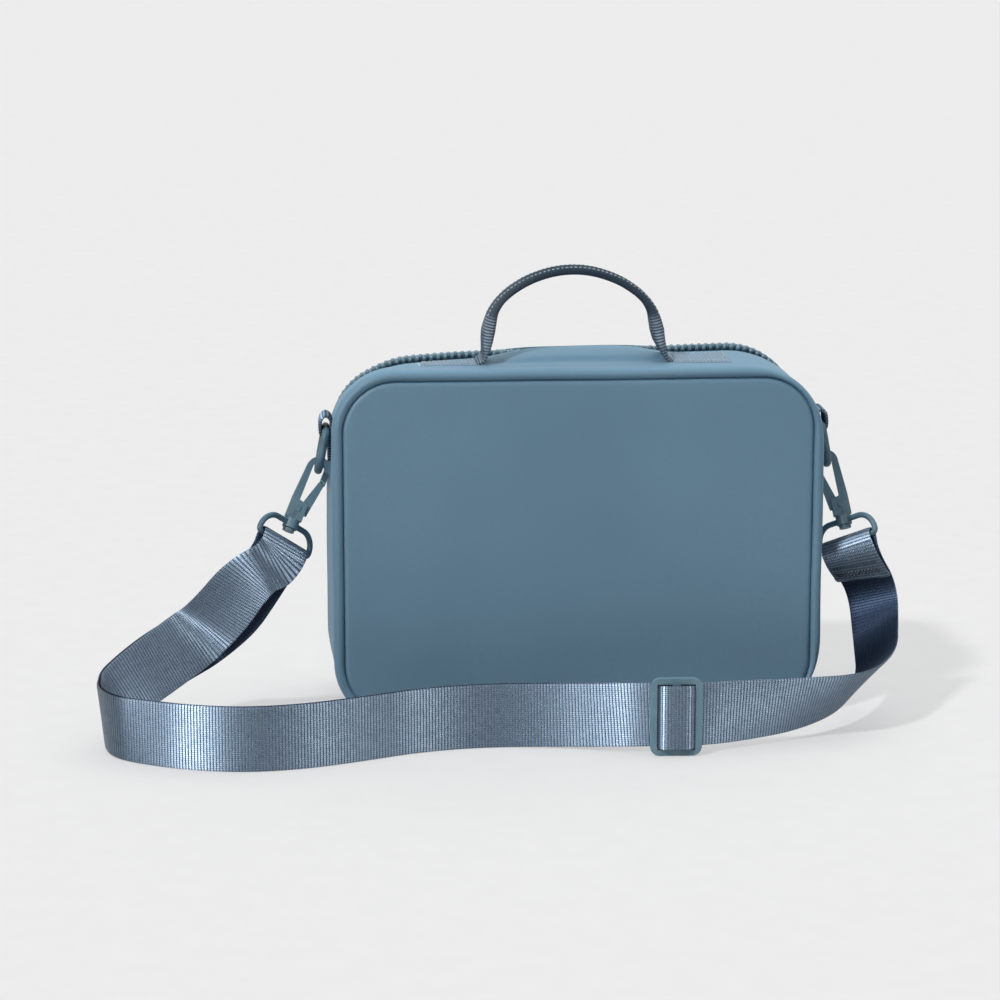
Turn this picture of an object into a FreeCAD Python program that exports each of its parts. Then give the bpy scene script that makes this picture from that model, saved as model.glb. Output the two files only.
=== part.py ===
import FreeCAD, Part
import math
import os

# Soft lunch box that stands on Z = 0, centred on X and Y, millimetres, +Z up.
# The plain back faces -Y and the fold-down front faces +Y.

V = FreeCAD.Vector

# Bag
bag_width = 250.0
bag_height = 184.0
bag_depth = 90.0
corner_radius = 42.0
shell = 3.0
panel = 3.0
foam = 4.0
liner = 0.8
roll_radius = 2.5
layer_gap = 0.1
fold_height = 40.0
fold_gap = 0.3

# How far a cutting shape runs past what it cuts, and how close two values count as equal
cut_past = 1.0
tiny = 0.01

# Zip
zip_setback = 22.0
zip_slot = 9.0
tape_width = 11.0
tape_thickness = 1.0
tape_split = 1.6
tooth_pitch = 3.7
tooth_width = 1.9
tooth_reach = 3.25
tooth_height = 3.0
row_gap = 0.3
stop_length = 3.5
stop_gap = 0.4
slider_length = 12.0
slider_width = 11.0
slider_plate = 1.4
slider_clear = 0.8
slider_post_width = 2.4
slider_post_length = 2.4
slider_post_setback = 0.4
bail_length = 8.0
bail_height = 4.2
bail_width = 2.4
bail_bar = 1.2
pull_pin_radius = 0.9
pull_width = 8.0
pull_arm = 1.5
pull_length = 27.0
pull_thickness = 1.6
pull_neck = 5.6

# Top handle
handle_webbing = 25.0
webbing = 1.8
handle_span = 94.0
handle_rise = 48.0
handle_leg = 14.0
handle_grip_width = 12.5
handle_grip_thickness = 5.5
handle_root_radius = 9.0
handle_clear = 0.4
handle_tab_length = 36.0
handle_flare = 2.2
handle_steps = 28
top_centre_y = -11.0

# Side loops and rings
loop_width = 16.0
loop_webbing = 1.6
loop_centre_height = 149.6
loop_eye_rise = 5.3
loop_tail = 16.0
ring_wire = 4.0
ring_bar_clear = 0.2
ring_inner_width = 17.0
ring_drop = 22.0
ring_corner = 3.0
ring_bow_share = 0.96
ring_tilt = 11.0

# Swivel hooks
hook_thickness = 4.0
hook_bar = 3.0
hook_eye_radius = 3.2
hook_seat_gap = 1.6
hook_nose_drop = 7.0
hook_eye_depth = 18.5
hook_body_length = 10.6
hook_body_left = 4.6
hook_body_right = 4.6
hook_base = 3.0
hook_axis_offset = 2.8
gate_thickness = 1.4
gate_gap = 0.4
gate_boss = 2.6
gate_slot_clear = 0.4
rivet_radius = 1.1
rivet_clear = 0.1
rivet_head_radius = 1.7
rivet_head = 0.5
rivet_rise = 3.0
spring_wire = 0.5
spring_gap = 0.1
post_radius = 2.0
post_clear = 0.08
post_seat = 2.4
post_head_radius = 3.1
post_head = 1.6
collar_radius = 4.0
collar_length = 4.9
collar_gap = 0.3
strap_ring_wire = 3.0
strap_ring_drop = 11.2
strap_ring_shoulder = 9.0
strap_ring_corner = 2.2

# How each side's hardware hangs at rest, in degrees: tilt out from the bag, lean to the back, swivel
hang_left = (24.0, 23.0, 35.0)
hang_right = (10.0, 24.0, -45.0)

# Shoulder strap
strap_width = 33.0
strap_webbing = 1.5
strap_side_clear = 0.6
fold_clear = 0.3
fold_tail = 3.0
fold_lead = 7.0
layer_clear = 0.3
layer_merge = 38.0
end_flap_length = 20.0
strap_steps = 5
bend_share = 0.45
glide_length = 26.0
glide_height = 40.0
glide_thickness = 2.6
glide_end_bar = 3.4
glide_centre_bar = 4.0
glide_side_bar = 3.0
glide_corner = 5.0
glide_clear = 0.3

# The strap's middle line from the left ring round to the right ring, and the way its upper edge points.
# The two points at each ring follow the ring.
strap_left_riser = [
    ((-168.0, -41.5, 78.5), (-0.63, -0.36, 0.69)),
    ((-186.1, -52.6, 60.4), (-0.40, -0.47, 0.78)),
    ((-209.2, -49.8, 42.4), (-0.42, -0.45, 0.79)),
    ((-229.6, -57.7, 28.1), (-0.33, -0.06, 0.94)),
    ((-240.7, -65.7, 20.0), (-0.14, -0.06, 0.99)),
]
strap_doubled_run = [
    ((-243.7, -79.7, 17.5), (-0.10, -0.07, 0.99)),
    ((-236.7, -97.1, 16.9), (-0.01, -0.10, 0.99)),
    ((-222.0, -106.0, 16.6), (0.00, 0.00, 1.00)),
    ((-200.0, -117.0, 16.6), (0.00, 0.00, 1.00)),
    ((-172.0, -123.5, 16.6), (0.00, 0.00, 1.00)),
    ((-142.0, -119.5, 16.6), (0.00, 0.00, 1.00)),
    ((-113.0, -108.0, 16.6), (0.00, 0.00, 1.00)),
    ((-86.0, -95.5, 16.6), (0.00, 0.00, 1.00)),
    ((-55.0, -89.0, 16.6), (0.00, 0.00, 1.00)),
    ((-24.0, -90.0, 16.8), (0.00, 0.00, 1.00)),
    ((6.0, -97.0, 18.0), (0.00, 0.00, 1.00)),
]
strap_slider_run = [
    ((30.0, -104.5, 20.2), (0.00, 0.00, 1.00)),
    ((56.0, -105.5, 20.2), (0.00, 0.00, 1.00)),
]
strap_single_run = [
    ((78.5, -99.9, 20.1), (0.00, -0.13, 0.99)),
    ((107.9, -91.7, 20.4), (0.01, -0.37, 0.93)),
    ((138.7, -77.5, 22.6), (0.19, -0.66, 0.72)),
]
strap_right_riser = [
    ((153.9, -55.0, 30.7), (0.34, -0.84, 0.42)),
    ((156.2, -36.7, 42.3), (0.56, -0.78, 0.28)),
    ((156.0, -25.8, 64.0), (0.67, -0.70, 0.26)),
]
strap_floor = strap_doubled_run + strap_slider_run + strap_single_run
strap_route = strap_left_riser + strap_floor + strap_right_riser

# Spans of the route from the left ring: where the run starts, the second layer ends, the run ends
run_start = 1 + len(strap_left_riser)
return_end = run_start + len(strap_doubled_run)
run_end = run_start + len(strap_floor)
glide_after = return_end + 1

half_depth = bag_depth / 2
half_width = bag_width / 2
zip_y = half_depth - zip_setback
foam_inset = shell + layer_gap
liner_inset = foam_inset + foam + layer_gap
tape_end = tape_split + tape_width
far_reach = bag_width + bag_height + bag_depth


# Shared shapes

def outline_face(inset, y):
    """The bag's rounded rectangle, drawn in by inset, standing at depth y."""
    half = half_width - inset
    low = inset
    high = bag_height - inset
    radius = corner_radius - inset
    slant = radius * math.sqrt(0.5)
    edges = []
    corners = [(1, 1), (-1, 1), (-1, -1), (1, -1)]
    ends = []
    for side_x, side_z in corners:
        centre = V(side_x * (half - radius), y, (high - radius) if side_z > 0 else (low + radius))
        on_side = centre + V(side_x * radius, 0, 0)
        on_level = centre + V(0, 0, side_z * radius)
        middle = centre + V(side_x * slant, 0, side_z * slant)
        first, last = (on_side, on_level) if side_x * side_z > 0 else (on_level, on_side)
        ends.append((first, middle, last))
    for index, (first, middle, last) in enumerate(ends):
        edges.append(Part.Arc(first, middle, last).toShape())
        edges.append(Part.makeLine(last, ends[(index + 1) % len(ends)][0]))
    return Part.Face(Part.Wire(edges))


def slab(inset, y0, y1):
    return outline_face(inset, y0).extrude(V(0, y1 - y0, 0))


def band(outer_inset, inner_inset, y0, y1):
    return slab(outer_inset, y0, y1).cut(slab(inner_inset, y0 - cut_past, y1 + cut_past))


def keep(shape, low, high):
    """The part of a shape inside the box from low to high, where None leaves a side open."""
    near = [-far_reach if value is None else value for value in low]
    far = [far_reach if value is None else value for value in high]
    size = [b - a for a, b in zip(near, far)]
    return shape.common(Part.makeBox(size[0], size[1], size[2], V(near[0], near[1], near[2])))


def above(shape, z):
    return keep(shape, (None, None, z), (None, None, None))


def below(shape, z):
    return keep(shape, (None, None, None), (None, None, z))


def polygon_prism(points, direction):
    """A closed outline of points pushed along a direction."""
    return Part.Face(Part.makePolygon(points + [points[0]])).extrude(direction)


def ribbon(sections):
    """A flat band through sections of (centre, across, normal, width, thickness)."""
    wires = []
    for centre, across, normal, width, thickness in sections:
        a = across * (width / 2)
        n = normal * (thickness / 2)
        corners = [centre + a + n, centre - a + n, centre - a - n, centre + a - n]
        wires.append(Part.makePolygon(corners + [corners[0]]))
    return Part.makeLoft(wires, True, True)


def write(node, shape):
    shape.exportStep("parts/" + node + ".step")


# Bag shell

def shell_block():
    """The whole gusset with its two edges turned over, before it is cut into its pieces."""
    block = slab(0, -half_depth, half_depth)
    rims = [e for e in block.Edges if abs(abs(e.CenterOfMass.y) - half_depth) < tiny]
    block = block.makeFillet(roll_radius, rims)
    return block.cut(slab(shell, -half_depth - cut_past, half_depth + cut_past))


def bag_pieces():
    block = shell_block()
    back_foam_y = -half_depth + panel + layer_gap
    inner_y = back_foam_y + foam + layer_gap
    front_y = half_depth - panel - layer_gap
    foam_end = zip_y - tape_end - layer_gap
    upper = keep(block, (None, None, fold_height), (None, zip_y - zip_slot / 2, None))
    panel_inset = shell + layer_gap
    write("upper_gusset", upper)
    write("base_gusset", below(block, fold_height))
    write("back_panel", slab(panel_inset, -half_depth, -half_depth + panel))
    write("front_lower_panel", below(slab(panel_inset, half_depth - panel, half_depth), fold_height))
    write("back_foam", slab(foam_inset, back_foam_y, back_foam_y + foam))
    whole_foam = band(foam_inset, foam_inset + foam, inner_y, foam_end)
    base_foam = below(band(foam_inset, foam_inset + foam, inner_y, front_y), fold_height)
    write("gusset_foam", whole_foam.fuse(base_foam).removeSplitter())
    wall = band(liner_inset, liner_inset + liner, inner_y, foam_end)
    back = slab(liner_inset, inner_y, inner_y + liner)
    base = below(band(liner_inset, liner_inset + liner, inner_y, front_y), fold_height)
    front = below(slab(liner_inset, front_y - liner, front_y), fold_height)
    write("bag_liner", wall.fuse([back, base, front]).removeSplitter())


def lid_pieces():
    lid_low = fold_height + fold_gap
    block = shell_block()
    panel_inset = shell + layer_gap
    foam_y = half_depth - panel - layer_gap
    write("lid_gusset", keep(block, (None, zip_y + zip_slot / 2, lid_low), (None, None, None)))
    write("lid_panel", above(slab(panel_inset, half_depth - panel, half_depth), lid_low))
    write("lid_foam", above(slab(foam_inset, foam_y - foam, foam_y), lid_low))
    liner_y = foam_y - foam - layer_gap
    write("lid_liner", above(slab(liner_inset, liner_y - liner, liner_y), lid_low))


# Zip

slider_low = fold_height + fold_gap + stop_length + stop_gap
teeth_low = slider_low + slider_post_setback + slider_post_length + stop_gap
side_run = bag_height - corner_radius - teeth_low
corner_run = corner_radius * math.pi / 2
top_run = bag_width - 2 * corner_radius
chain_length = 2 * side_run + 2 * corner_run + top_run


def chain_point(along):
    """Place and outward angle, from +Z towards +X, at a length along the zip from its left end."""
    flat = half_width - corner_radius
    if along < side_run:
        return V(-half_width, 0, teeth_low + along), -90.0
    along -= side_run
    if along < corner_run:
        angle = -90.0 + 90.0 * along / corner_run
        centre = V(-flat, 0, bag_height - corner_radius)
        turn = math.radians(angle)
        return centre + V(math.sin(turn), 0, math.cos(turn)) * corner_radius, angle
    along -= corner_run
    if along < top_run:
        return V(-flat + along, 0, bag_height), 0.0
    along -= top_run
    if along < corner_run:
        angle = 90.0 * along / corner_run
        centre = V(flat, 0, bag_height - corner_radius)
        turn = math.radians(angle)
        return centre + V(math.sin(turn), 0, math.cos(turn)) * corner_radius, angle
    along -= corner_run
    return V(half_width, 0, bag_height - corner_radius - along), 90.0


def tooth_row(first, y0, y1):
    """One row of separate teeth, standing outwards on the tape."""
    teeth = []
    along = first
    while along < chain_length - tooth_width / 2:
        place, angle = chain_point(along)
        tooth = Part.makeBox(tooth_width, y1 - y0, tooth_height, V(-tooth_width / 2, y0, -tooth_height))
        tooth.rotate(V(0, 0, 0), V(0, 1, 0), angle)
        tooth.translate(place)
        teeth.append(tooth)
        along += tooth_pitch
    return Part.makeCompound(teeth)


def zip_pieces():
    tape_inset = shell + layer_gap
    tape_inner = tape_inset + tape_thickness
    bag_tape = band(tape_inset, tape_inner, zip_y - tape_end, zip_y - tape_split)
    lid_tape = band(tape_inset, tape_inner, zip_y + tape_split, zip_y + tape_end)
    write("zip_tape_bag", above(bag_tape, fold_height))
    write("zip_tape_lid", above(lid_tape, fold_height + fold_gap))
    first = tooth_width / 2
    half_gap = row_gap / 2
    write("zip_teeth_bag", tooth_row(first, zip_y - tooth_reach, zip_y - half_gap))
    write("zip_teeth_lid", tooth_row(first + tooth_pitch / 2, zip_y + half_gap, zip_y + tooth_reach))
    stops = []
    for side in (-1, 1):
        inner = half_width - shell
        x0 = min(side * inner, side * half_width)
        low = fold_height + fold_gap
        stops.append(Part.makeBox(shell, 2 * tooth_reach, stop_length, V(x0, zip_y - tooth_reach, low)))
    write("zip_end_stops", Part.makeCompound(stops))


slider_top_x = half_width + slider_clear
slider_middle_z = slider_low + slider_length / 2
pull_pin_x = slider_top_x + slider_plate + (bail_height - bail_bar) / 2


def zip_slider_piece():
    """The slider at the right-hand end of the zip: two plates, the post between them and the bail."""
    y0 = zip_y - slider_width / 2
    under_x = half_width - shell - layer_gap - tape_thickness - slider_clear - slider_plate
    top = Part.makeBox(slider_plate, slider_width, slider_length, V(slider_top_x, y0, slider_low))
    under = Part.makeBox(slider_plate, slider_width, slider_length, V(under_x, y0, slider_low))
    post_start = V(under_x + slider_plate, zip_y - slider_post_width / 2, slider_low + slider_post_setback)
    post_height = slider_top_x - under_x - slider_plate
    post = Part.makeBox(post_height, slider_post_width, slider_post_length, post_start)
    bail_start = V(slider_top_x + slider_plate, zip_y - bail_width / 2, slider_middle_z - bail_length / 2)
    bail = Part.makeBox(bail_height, bail_width, bail_length, bail_start)
    eye_start = bail_start + V(0, -cut_past, bail_bar)
    eye_width = bail_width + 2 * cut_past
    eye = Part.makeBox(bail_height - bail_bar, eye_width, bail_length - 2 * bail_bar, eye_start)
    write("zip_slider", top.fuse([under, post, bail.cut(eye)]).removeSplitter())


def zip_pull_piece():
    """The pull hangs from a pin through the bail."""
    y0 = zip_y - pull_width / 2
    pin = Part.makeCylinder(pull_pin_radius, pull_width, V(pull_pin_x, y0, slider_middle_z), V(0, 1, 0))
    x0 = pull_pin_x - pull_thickness / 2
    arms = []
    for y in (y0, zip_y + pull_width / 2 - pull_arm):
        arms.append(Part.makeBox(pull_thickness, pull_arm, pull_neck, V(x0, y, slider_middle_z - pull_neck)))
    plate_length = pull_length - pull_neck
    plate = Part.makeBox(pull_thickness, pull_width, plate_length, V(x0, y0, slider_middle_z - pull_length))
    write("zip_pull", pin.fuse(arms + [plate]).removeSplitter())


# Top handle

handle_tab_top = bag_height + webbing
handle_axis_z = handle_tab_top + handle_clear + handle_root_radius


def handle_pieces():
    """A webbing arch folded to a grip, and the two flat ends that are sewn to the top."""
    half = handle_span / 2
    y = top_centre_y
    sections = []
    top_z = bag_height + handle_rise
    shoulder_z = handle_axis_z + handle_leg - handle_root_radius
    arch = top_z - shoulder_z
    reach = half - webbing
    for step in range(handle_steps + 1):
        turn = math.pi * step / handle_steps
        x = -reach * math.cos(turn)
        z = shoulder_z + arch * math.sin(turn)
        along = V(reach * math.sin(turn), 0, arch * math.cos(turn)).normalize()
        share = min(1.0, handle_flare * math.sin(turn))
        width = 2 * handle_root_radius + share * (handle_grip_width - 2 * handle_root_radius)
        thickness = webbing + share * (handle_grip_thickness - webbing)
        normal = V(0, 1, 0).cross(along)
        sections.append((V(x, y, z), V(0, 1, 0), normal, width, thickness))
    grip = ribbon(sections)
    feet = []
    for side in (-1, 1):
        x0 = side * reach - webbing / 2
        foot = Part.makeBox(webbing, 2 * handle_root_radius, shoulder_z - handle_axis_z,
                            V(x0, y - handle_root_radius, handle_axis_z))
        round_end = Part.makeCylinder(handle_root_radius, webbing, V(x0, y, handle_axis_z), V(1, 0, 0))
        feet += [foot, round_end]
        inner = side * (half - webbing)
        x_low = min(inner, inner + side * handle_tab_length)
        tab = Part.makeBox(handle_tab_length, handle_webbing, webbing,
                           V(x_low, y - handle_webbing / 2, bag_height))
        write("handle_tab_left" if side < 0 else "handle_tab_right", tab)
    write("handle_grip", grip.fuse(feet).removeSplitter())


# Side loops and rings

loop_eye = ring_wire / 2 + ring_bar_clear
ring_bar_x = half_width + loop_webbing + loop_eye
ring_half = (ring_inner_width + ring_wire) / 2


def side_point(side, x, y, z):
    return V(side * x, y, z)


def stadium(side, radius, y0, length):
    """An upright stadium round the loop's eye, pushed along Y."""
    low = loop_centre_height
    high = loop_centre_height + loop_eye_rise
    disc_low = Part.makeCylinder(radius, length, side_point(side, ring_bar_x, y0, low), V(0, 1, 0))
    disc_high = Part.makeCylinder(radius, length, side_point(side, ring_bar_x, y0, high), V(0, 1, 0))
    middle = Part.makeBox(2 * radius, length, high - low, V(side * ring_bar_x - radius, y0, low))
    return middle.fuse([disc_low, disc_high]).removeSplitter()


def side_loop(side):
    """A loop of webbing that holds the ring, with its tail flat on the gusset."""
    y0 = top_centre_y - loop_width / 2
    outer = stadium(side, loop_eye + loop_webbing, y0, loop_width)
    eye = stadium(side, loop_eye, y0 - cut_past, loop_width + 2 * cut_past)
    x_low = min(side * half_width, side * (half_width + loop_webbing))
    tail = Part.makeBox(loop_webbing, loop_width, loop_tail, V(x_low, y0, loop_centre_height - loop_tail))
    return outer.fuse(tail).cut(eye).removeSplitter()


def ring_down(side):
    turn = math.radians(ring_tilt)
    return V(side * math.sin(turn), 0, -math.cos(turn))


def ring_bar_centre(side):
    return side_point(side, ring_bar_x, top_centre_y, loop_centre_height)


def hook_pivot(side):
    """Centre of the ring's wire at its lowest point."""
    return ring_bar_centre(side) + ring_down(side) * ring_drop


def closed_wire_ring(points, bends, radius):
    """A round wire bent along a closed flat route of straight runs and arcs."""
    route = []
    count = len(points)
    starts = []
    for index in range(count):
        before = points[index - 1]
        corner = points[index]
        after = points[(index + 1) % count]
        back = (before - corner).normalize()
        ahead = (after - corner).normalize()
        half_turn = math.acos(max(-1.0, min(1.0, back.dot(ahead)))) / 2
        cut = bends[index] / math.tan(half_turn)
        centre = corner + (back + ahead).normalize() * (bends[index] / math.sin(half_turn))
        middle = centre - (back + ahead).normalize() * bends[index]
        starts.append((corner + back * cut, middle, corner + ahead * cut))
    for index, (first, middle, last) in enumerate(starts):
        route.append(Part.Arc(first, middle, last).toShape())
        following = starts[(index + 1) % count][0]
        if (following - last).Length > tiny:
            route.append(Part.makeLine(last, following))
    path = Part.Wire(route)
    start = starts[0][2]
    towards = (starts[1][0] - start).normalize()
    section = Part.Wire([Part.makeCircle(radius, start, towards)])
    return path.makePipeShell([section], True, False)


def d_ring(side):
    """A ring with a straight bar in the loop and a round bow below."""
    top = ring_bar_centre(side)
    down = ring_down(side)
    across = V(0, ring_half, 0)
    bow = ring_half * ring_bow_share
    points = [top - across, top + across, top + across + down * ring_drop, top - across + down * ring_drop]
    return closed_wire_ring(points, [ring_corner, ring_corner, bow, bow], ring_wire / 2)


# Swivel hooks, drawn with x towards the gate, y through the hook and z up its length, from the pivot

hook_outer = hook_eye_radius + hook_bar
hook_bow_rise = ring_wire / 2 + hook_seat_gap - hook_eye_radius
body_top = -hook_eye_depth
body_low = body_top - hook_body_length
body_left = -hook_axis_offset - hook_body_left
body_right = -hook_axis_offset + hook_body_right
slot_low = body_low + hook_base
rivet_x = -hook_axis_offset
rivet_z = slot_low + rivet_rise
collar_top = body_low - collar_gap
collar_low = collar_top - collar_length
collar_middle = (collar_top + collar_low) / 2
strap_bar_z = collar_middle - strap_ring_drop
strap_ring_half = strap_width / 2 + strap_side_clear + strap_ring_wire / 2
nose_reach = math.hypot(hook_outer - rivet_x, -hook_nose_drop - rivet_z)


def hook_axes(side, hang):
    """Directions of a hanging hook: towards its gate, through its thickness and up its length."""
    tilt = math.radians(hang[0])
    lean = math.radians(hang[1])
    up = V(-side * math.sin(tilt) * math.cos(lean), math.sin(lean), math.cos(tilt) * math.cos(lean))
    gate = V(-side * math.cos(tilt), 0, -math.sin(tilt))
    return gate, up.cross(gate), up


def hook_placement(side, hang):
    x, y, z = hook_axes(side, hang)
    at = hook_pivot(side)
    matrix = FreeCAD.Matrix(x.x, y.x, z.x, at.x, x.y, y.y, z.y, at.y, x.z, y.z, z.z, at.z, 0, 0, 0, 1)
    return FreeCAD.Placement(matrix)


def placed(shape, placement):
    moved = shape.copy()
    moved.Placement = placement.multiply(moved.Placement)
    return moved


def through(x, z, radius, half_length):
    """A round bar through the hook's thickness."""
    return Part.makeCylinder(radius, 2 * half_length, V(x, -half_length, z), V(0, 1, 0))


def hook_body():
    half = hook_thickness / 2
    bow = hook_bow_rise
    edges = []

    def line(x0, z0, x1, z1):
        edges.append(Part.makeLine(V(x0, -half, z0), V(x1, -half, z1)))

    def arch(radius, left_to_right):
        first, last = (-radius, radius) if left_to_right else (radius, -radius)
        top = V(0, -half, bow + radius)
        edges.append(Part.Arc(V(first, -half, bow), top, V(last, -half, bow)).toShape())

    line(body_left, body_low, body_left, body_top)
    line(body_left, body_top, -hook_outer, bow)
    arch(hook_outer, True)
    line(hook_outer, bow, hook_outer, -hook_nose_drop)
    line(hook_outer, -hook_nose_drop, hook_eye_radius, -hook_nose_drop)
    line(hook_eye_radius, -hook_nose_drop, hook_eye_radius, bow)
    arch(hook_eye_radius, False)
    line(-hook_eye_radius, bow, -hook_eye_radius, body_top)
    line(-hook_eye_radius, body_top, body_right, body_top - hook_base / 2)
    line(body_right, body_top - hook_base / 2, body_right, body_low)
    line(body_right, body_low, body_left, body_low)
    body = Part.Face(Part.Wire(edges)).extrude(V(0, hook_thickness, 0))
    slot_half = gate_thickness / 2 + spring_wire + 2 * spring_gap
    slot_left = rivet_x - gate_boss - gate_slot_clear
    boss_top = rivet_z + gate_boss + gate_slot_clear
    slot = Part.makeBox(far_reach, 2 * slot_half, boss_top - slot_low, V(slot_left, -slot_half, slot_low))
    mouth_height = body_top + cut_past - boss_top
    mouth = Part.makeBox(far_reach, 2 * slot_half, mouth_height, V(-hook_eye_radius, -slot_half, boss_top))
    seat_depth = post_seat + layer_gap
    seat = Part.makeCylinder(post_radius + post_clear, seat_depth, V(-hook_axis_offset, 0, body_low))
    rivet_hole = through(rivet_x, rivet_z, rivet_radius + rivet_clear / 2, hook_thickness)
    gate_sweep = through(rivet_x, rivet_z, nose_reach, hook_thickness)
    nose_end = keep(gate_sweep, (hook_eye_radius, None, -hook_nose_drop), (None, None, None))
    return body.cut([slot, mouth, seat, rivet_hole, nose_end])


def gate():
    """The sprung lever that closes the hook, on its rivet, with a round end that passes the nose."""
    half = gate_thickness / 2
    tip_z = rivet_z + nose_reach
    thumb_x = body_right + gate_boss / 2
    low_z = rivet_z - gate_boss + gate_slot_clear / 2
    outline = [(rivet_x, low_z), (thumb_x, low_z), (hook_outer, tip_z), (hook_eye_radius, tip_z),
               (rivet_x + gate_boss / 2, rivet_z + gate_boss), (rivet_x, rivet_z + gate_boss / 2)]
    lever = polygon_prism([V(x, -half, z) for x, z in outline], V(0, gate_thickness, 0))
    lever = lever.common(through(rivet_x, rivet_z, nose_reach - gate_gap, hook_thickness))
    lever = lever.fuse(through(rivet_x, rivet_z, gate_boss, half))
    return lever.cut(through(rivet_x, rivet_z, rivet_radius + rivet_clear, hook_thickness)).removeSplitter()


def gate_rivet():
    half = hook_thickness / 2
    pin = through(rivet_x, rivet_z, rivet_radius, half + rivet_head)
    heads = []
    for y in (-half - rivet_head, half):
        heads.append(Part.makeCylinder(rivet_head_radius, rivet_head, V(rivet_x, y, rivet_z), V(0, 1, 0)))
    return pin.fuse(heads).removeSplitter()


def gate_spring():
    """Flat coil beside the gate, on the rivet."""
    y = gate_thickness / 2 + spring_gap
    start = V(rivet_x, y, rivet_z)
    disc = Part.makeCylinder(rivet_radius + rivet_clear + spring_wire, spring_wire, start, V(0, 1, 0))
    return disc.cut(Part.makeCylinder(rivet_radius + rivet_clear, spring_wire, start, V(0, 1, 0)))


def swivel_post():
    """Post fixed in the hook's base, with a head under the collar."""
    head_z = collar_low - collar_gap - post_head
    x = -hook_axis_offset
    post = Part.makeCylinder(post_radius, body_low + post_seat - head_z, V(x, 0, head_z))
    return post.fuse(Part.makeCylinder(post_head_radius, post_head, V(x, 0, head_z))).removeSplitter()


def swivel_turn(hang):
    """Turn of the strap ring about the hook's post."""
    return FreeCAD.Placement(V(0, 0, 0), FreeCAD.Rotation(V(0, 0, 1), hang[2]), V(-hook_axis_offset, 0, 0))


def strap_ring():
    """A flat-bottomed ring for the strap, in one piece with the swivel's collar."""
    x0 = -hook_axis_offset
    left = x0 - strap_ring_half
    right = x0 + strap_ring_half
    low = [V(left, 0, strap_bar_z), V(right, 0, strap_bar_z)]
    points = low + [V(right, 0, collar_middle), V(left, 0, collar_middle)]
    bends = [strap_ring_corner, strap_ring_corner, strap_ring_shoulder, strap_ring_shoulder]
    ring = closed_wire_ring(points, bends, strap_ring_wire / 2)
    collar = Part.makeCylinder(collar_radius, collar_length, V(x0, 0, collar_low))
    bore_length = collar_length + 2 * cut_past
    bore = Part.makeCylinder(post_radius + post_clear, bore_length, V(x0, 0, collar_low - cut_past))
    return ring.fuse(collar).cut(bore).removeSplitter()


def strap_fold():
    """The webbing's turn over the strap ring's bar."""
    inner = strap_ring_wire / 2 + fold_clear
    outer = inner + strap_webbing
    start = V(-hook_axis_offset - strap_width / 2, 0, strap_bar_z)
    turn = Part.makeCylinder(outer, strap_width, start, V(1, 0, 0))
    turn = turn.cut(Part.makeCylinder(inner, strap_width, start, V(1, 0, 0)))
    turn = above(turn, strap_bar_z)
    tails = []
    for y in (-outer, inner):
        tails.append(Part.makeBox(strap_width, strap_webbing, fold_tail, start + V(0, y, -fold_tail)))
    return turn.fuse(tails).removeSplitter()


# Shoulder strap

def strap_frame(side, hang):
    """Middle of the strap ring's bar, the way the webbing leaves it and the way its outer edge points."""
    ring = hook_placement(side, hang).multiply(swivel_turn(hang))
    bar = ring.multVec(V(-hook_axis_offset, 0, strap_bar_z))
    leave = ring.Rotation.multVec(V(0, 0, -1))
    return bar, leave, ring.Rotation.multVec(V(-1, 0, 0))


def strap_points():
    """All route points with the way the upper edge points at each."""
    left_bar, left_leave, left_edge = strap_frame(-1, hang_left)
    right_bar, right_leave, right_edge = strap_frame(1, hang_right)
    first = [(left_bar + left_leave * reach, left_edge) for reach in (fold_tail, fold_tail + fold_lead)]
    last = [(right_bar + right_leave * reach, right_edge) for reach in (fold_tail + fold_lead, fold_tail)]
    return first + [(V(*place), V(*edge)) for place, edge in strap_route] + last


def spans(values):
    """Curved spans that touch each run of the route at its middle, as lists of (value, slope) steps."""
    joins = [values[0]]
    for index in range(1, len(values) - 2):
        joins.append((values[index] + values[index + 1]) * 0.5)
    joins.append(values[-1])
    result = []
    for index in range(1, len(values) - 1):
        start = joins[index - 1]
        middle = values[index]
        end = joins[index]
        steps = []
        for step in range(strap_steps + 1):
            t = step / strap_steps
            value = start * (1 - t) ** 2 + middle * (2 * t * (1 - t)) + end * t ** 2
            slope = (middle - start) * (1 - t) + (end - middle) * t
            steps.append((value, slope))
        result.append(steps)
    return result


def strap_stations(first, last):
    """Place, direction, edge and outward side at each step from one route point to another."""
    points = strap_points()
    places = spans([place for place, edge in points])[first:last]
    edges = spans([edge for place, edge in points])[first:last]
    flat_places = places[0] + [step for span in places[1:] for step in span[1:]]
    flat_edges = edges[0] + [step for span in edges[1:] for step in span[1:]]
    stations = []
    for (place, slope), (edge, edge_slope) in zip(flat_places, flat_edges):
        along = V(slope).normalize()
        square_edge = (edge - along * edge.dot(along)).normalize()
        stations.append((place, along, square_edge, along.cross(square_edge)))
    return stations


def run_lengths(stations):
    lengths = [0.0]
    for before, after in zip(stations, stations[1:]):
        lengths.append(lengths[-1] + (after[0] - before[0]).Length)
    return lengths


layer_offset = (strap_webbing + layer_clear) / 2
fold_offset = strap_ring_wire / 2 + fold_clear + strap_webbing / 2


def strap_layer(stations, side, from_ring):
    """One layer of webbing on the outer (1) or inner (-1) side of the route."""
    sections = []
    for (place, along, edge, outward), reach in zip(stations, from_ring):
        share = max(0.0, 1 - reach / layer_merge) ** 2
        offset = layer_offset + (fold_offset - layer_offset) * share
        sections.append((place + outward * (side * offset), edge, outward, strap_width, strap_webbing))
    return ribbon(sections)


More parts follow.
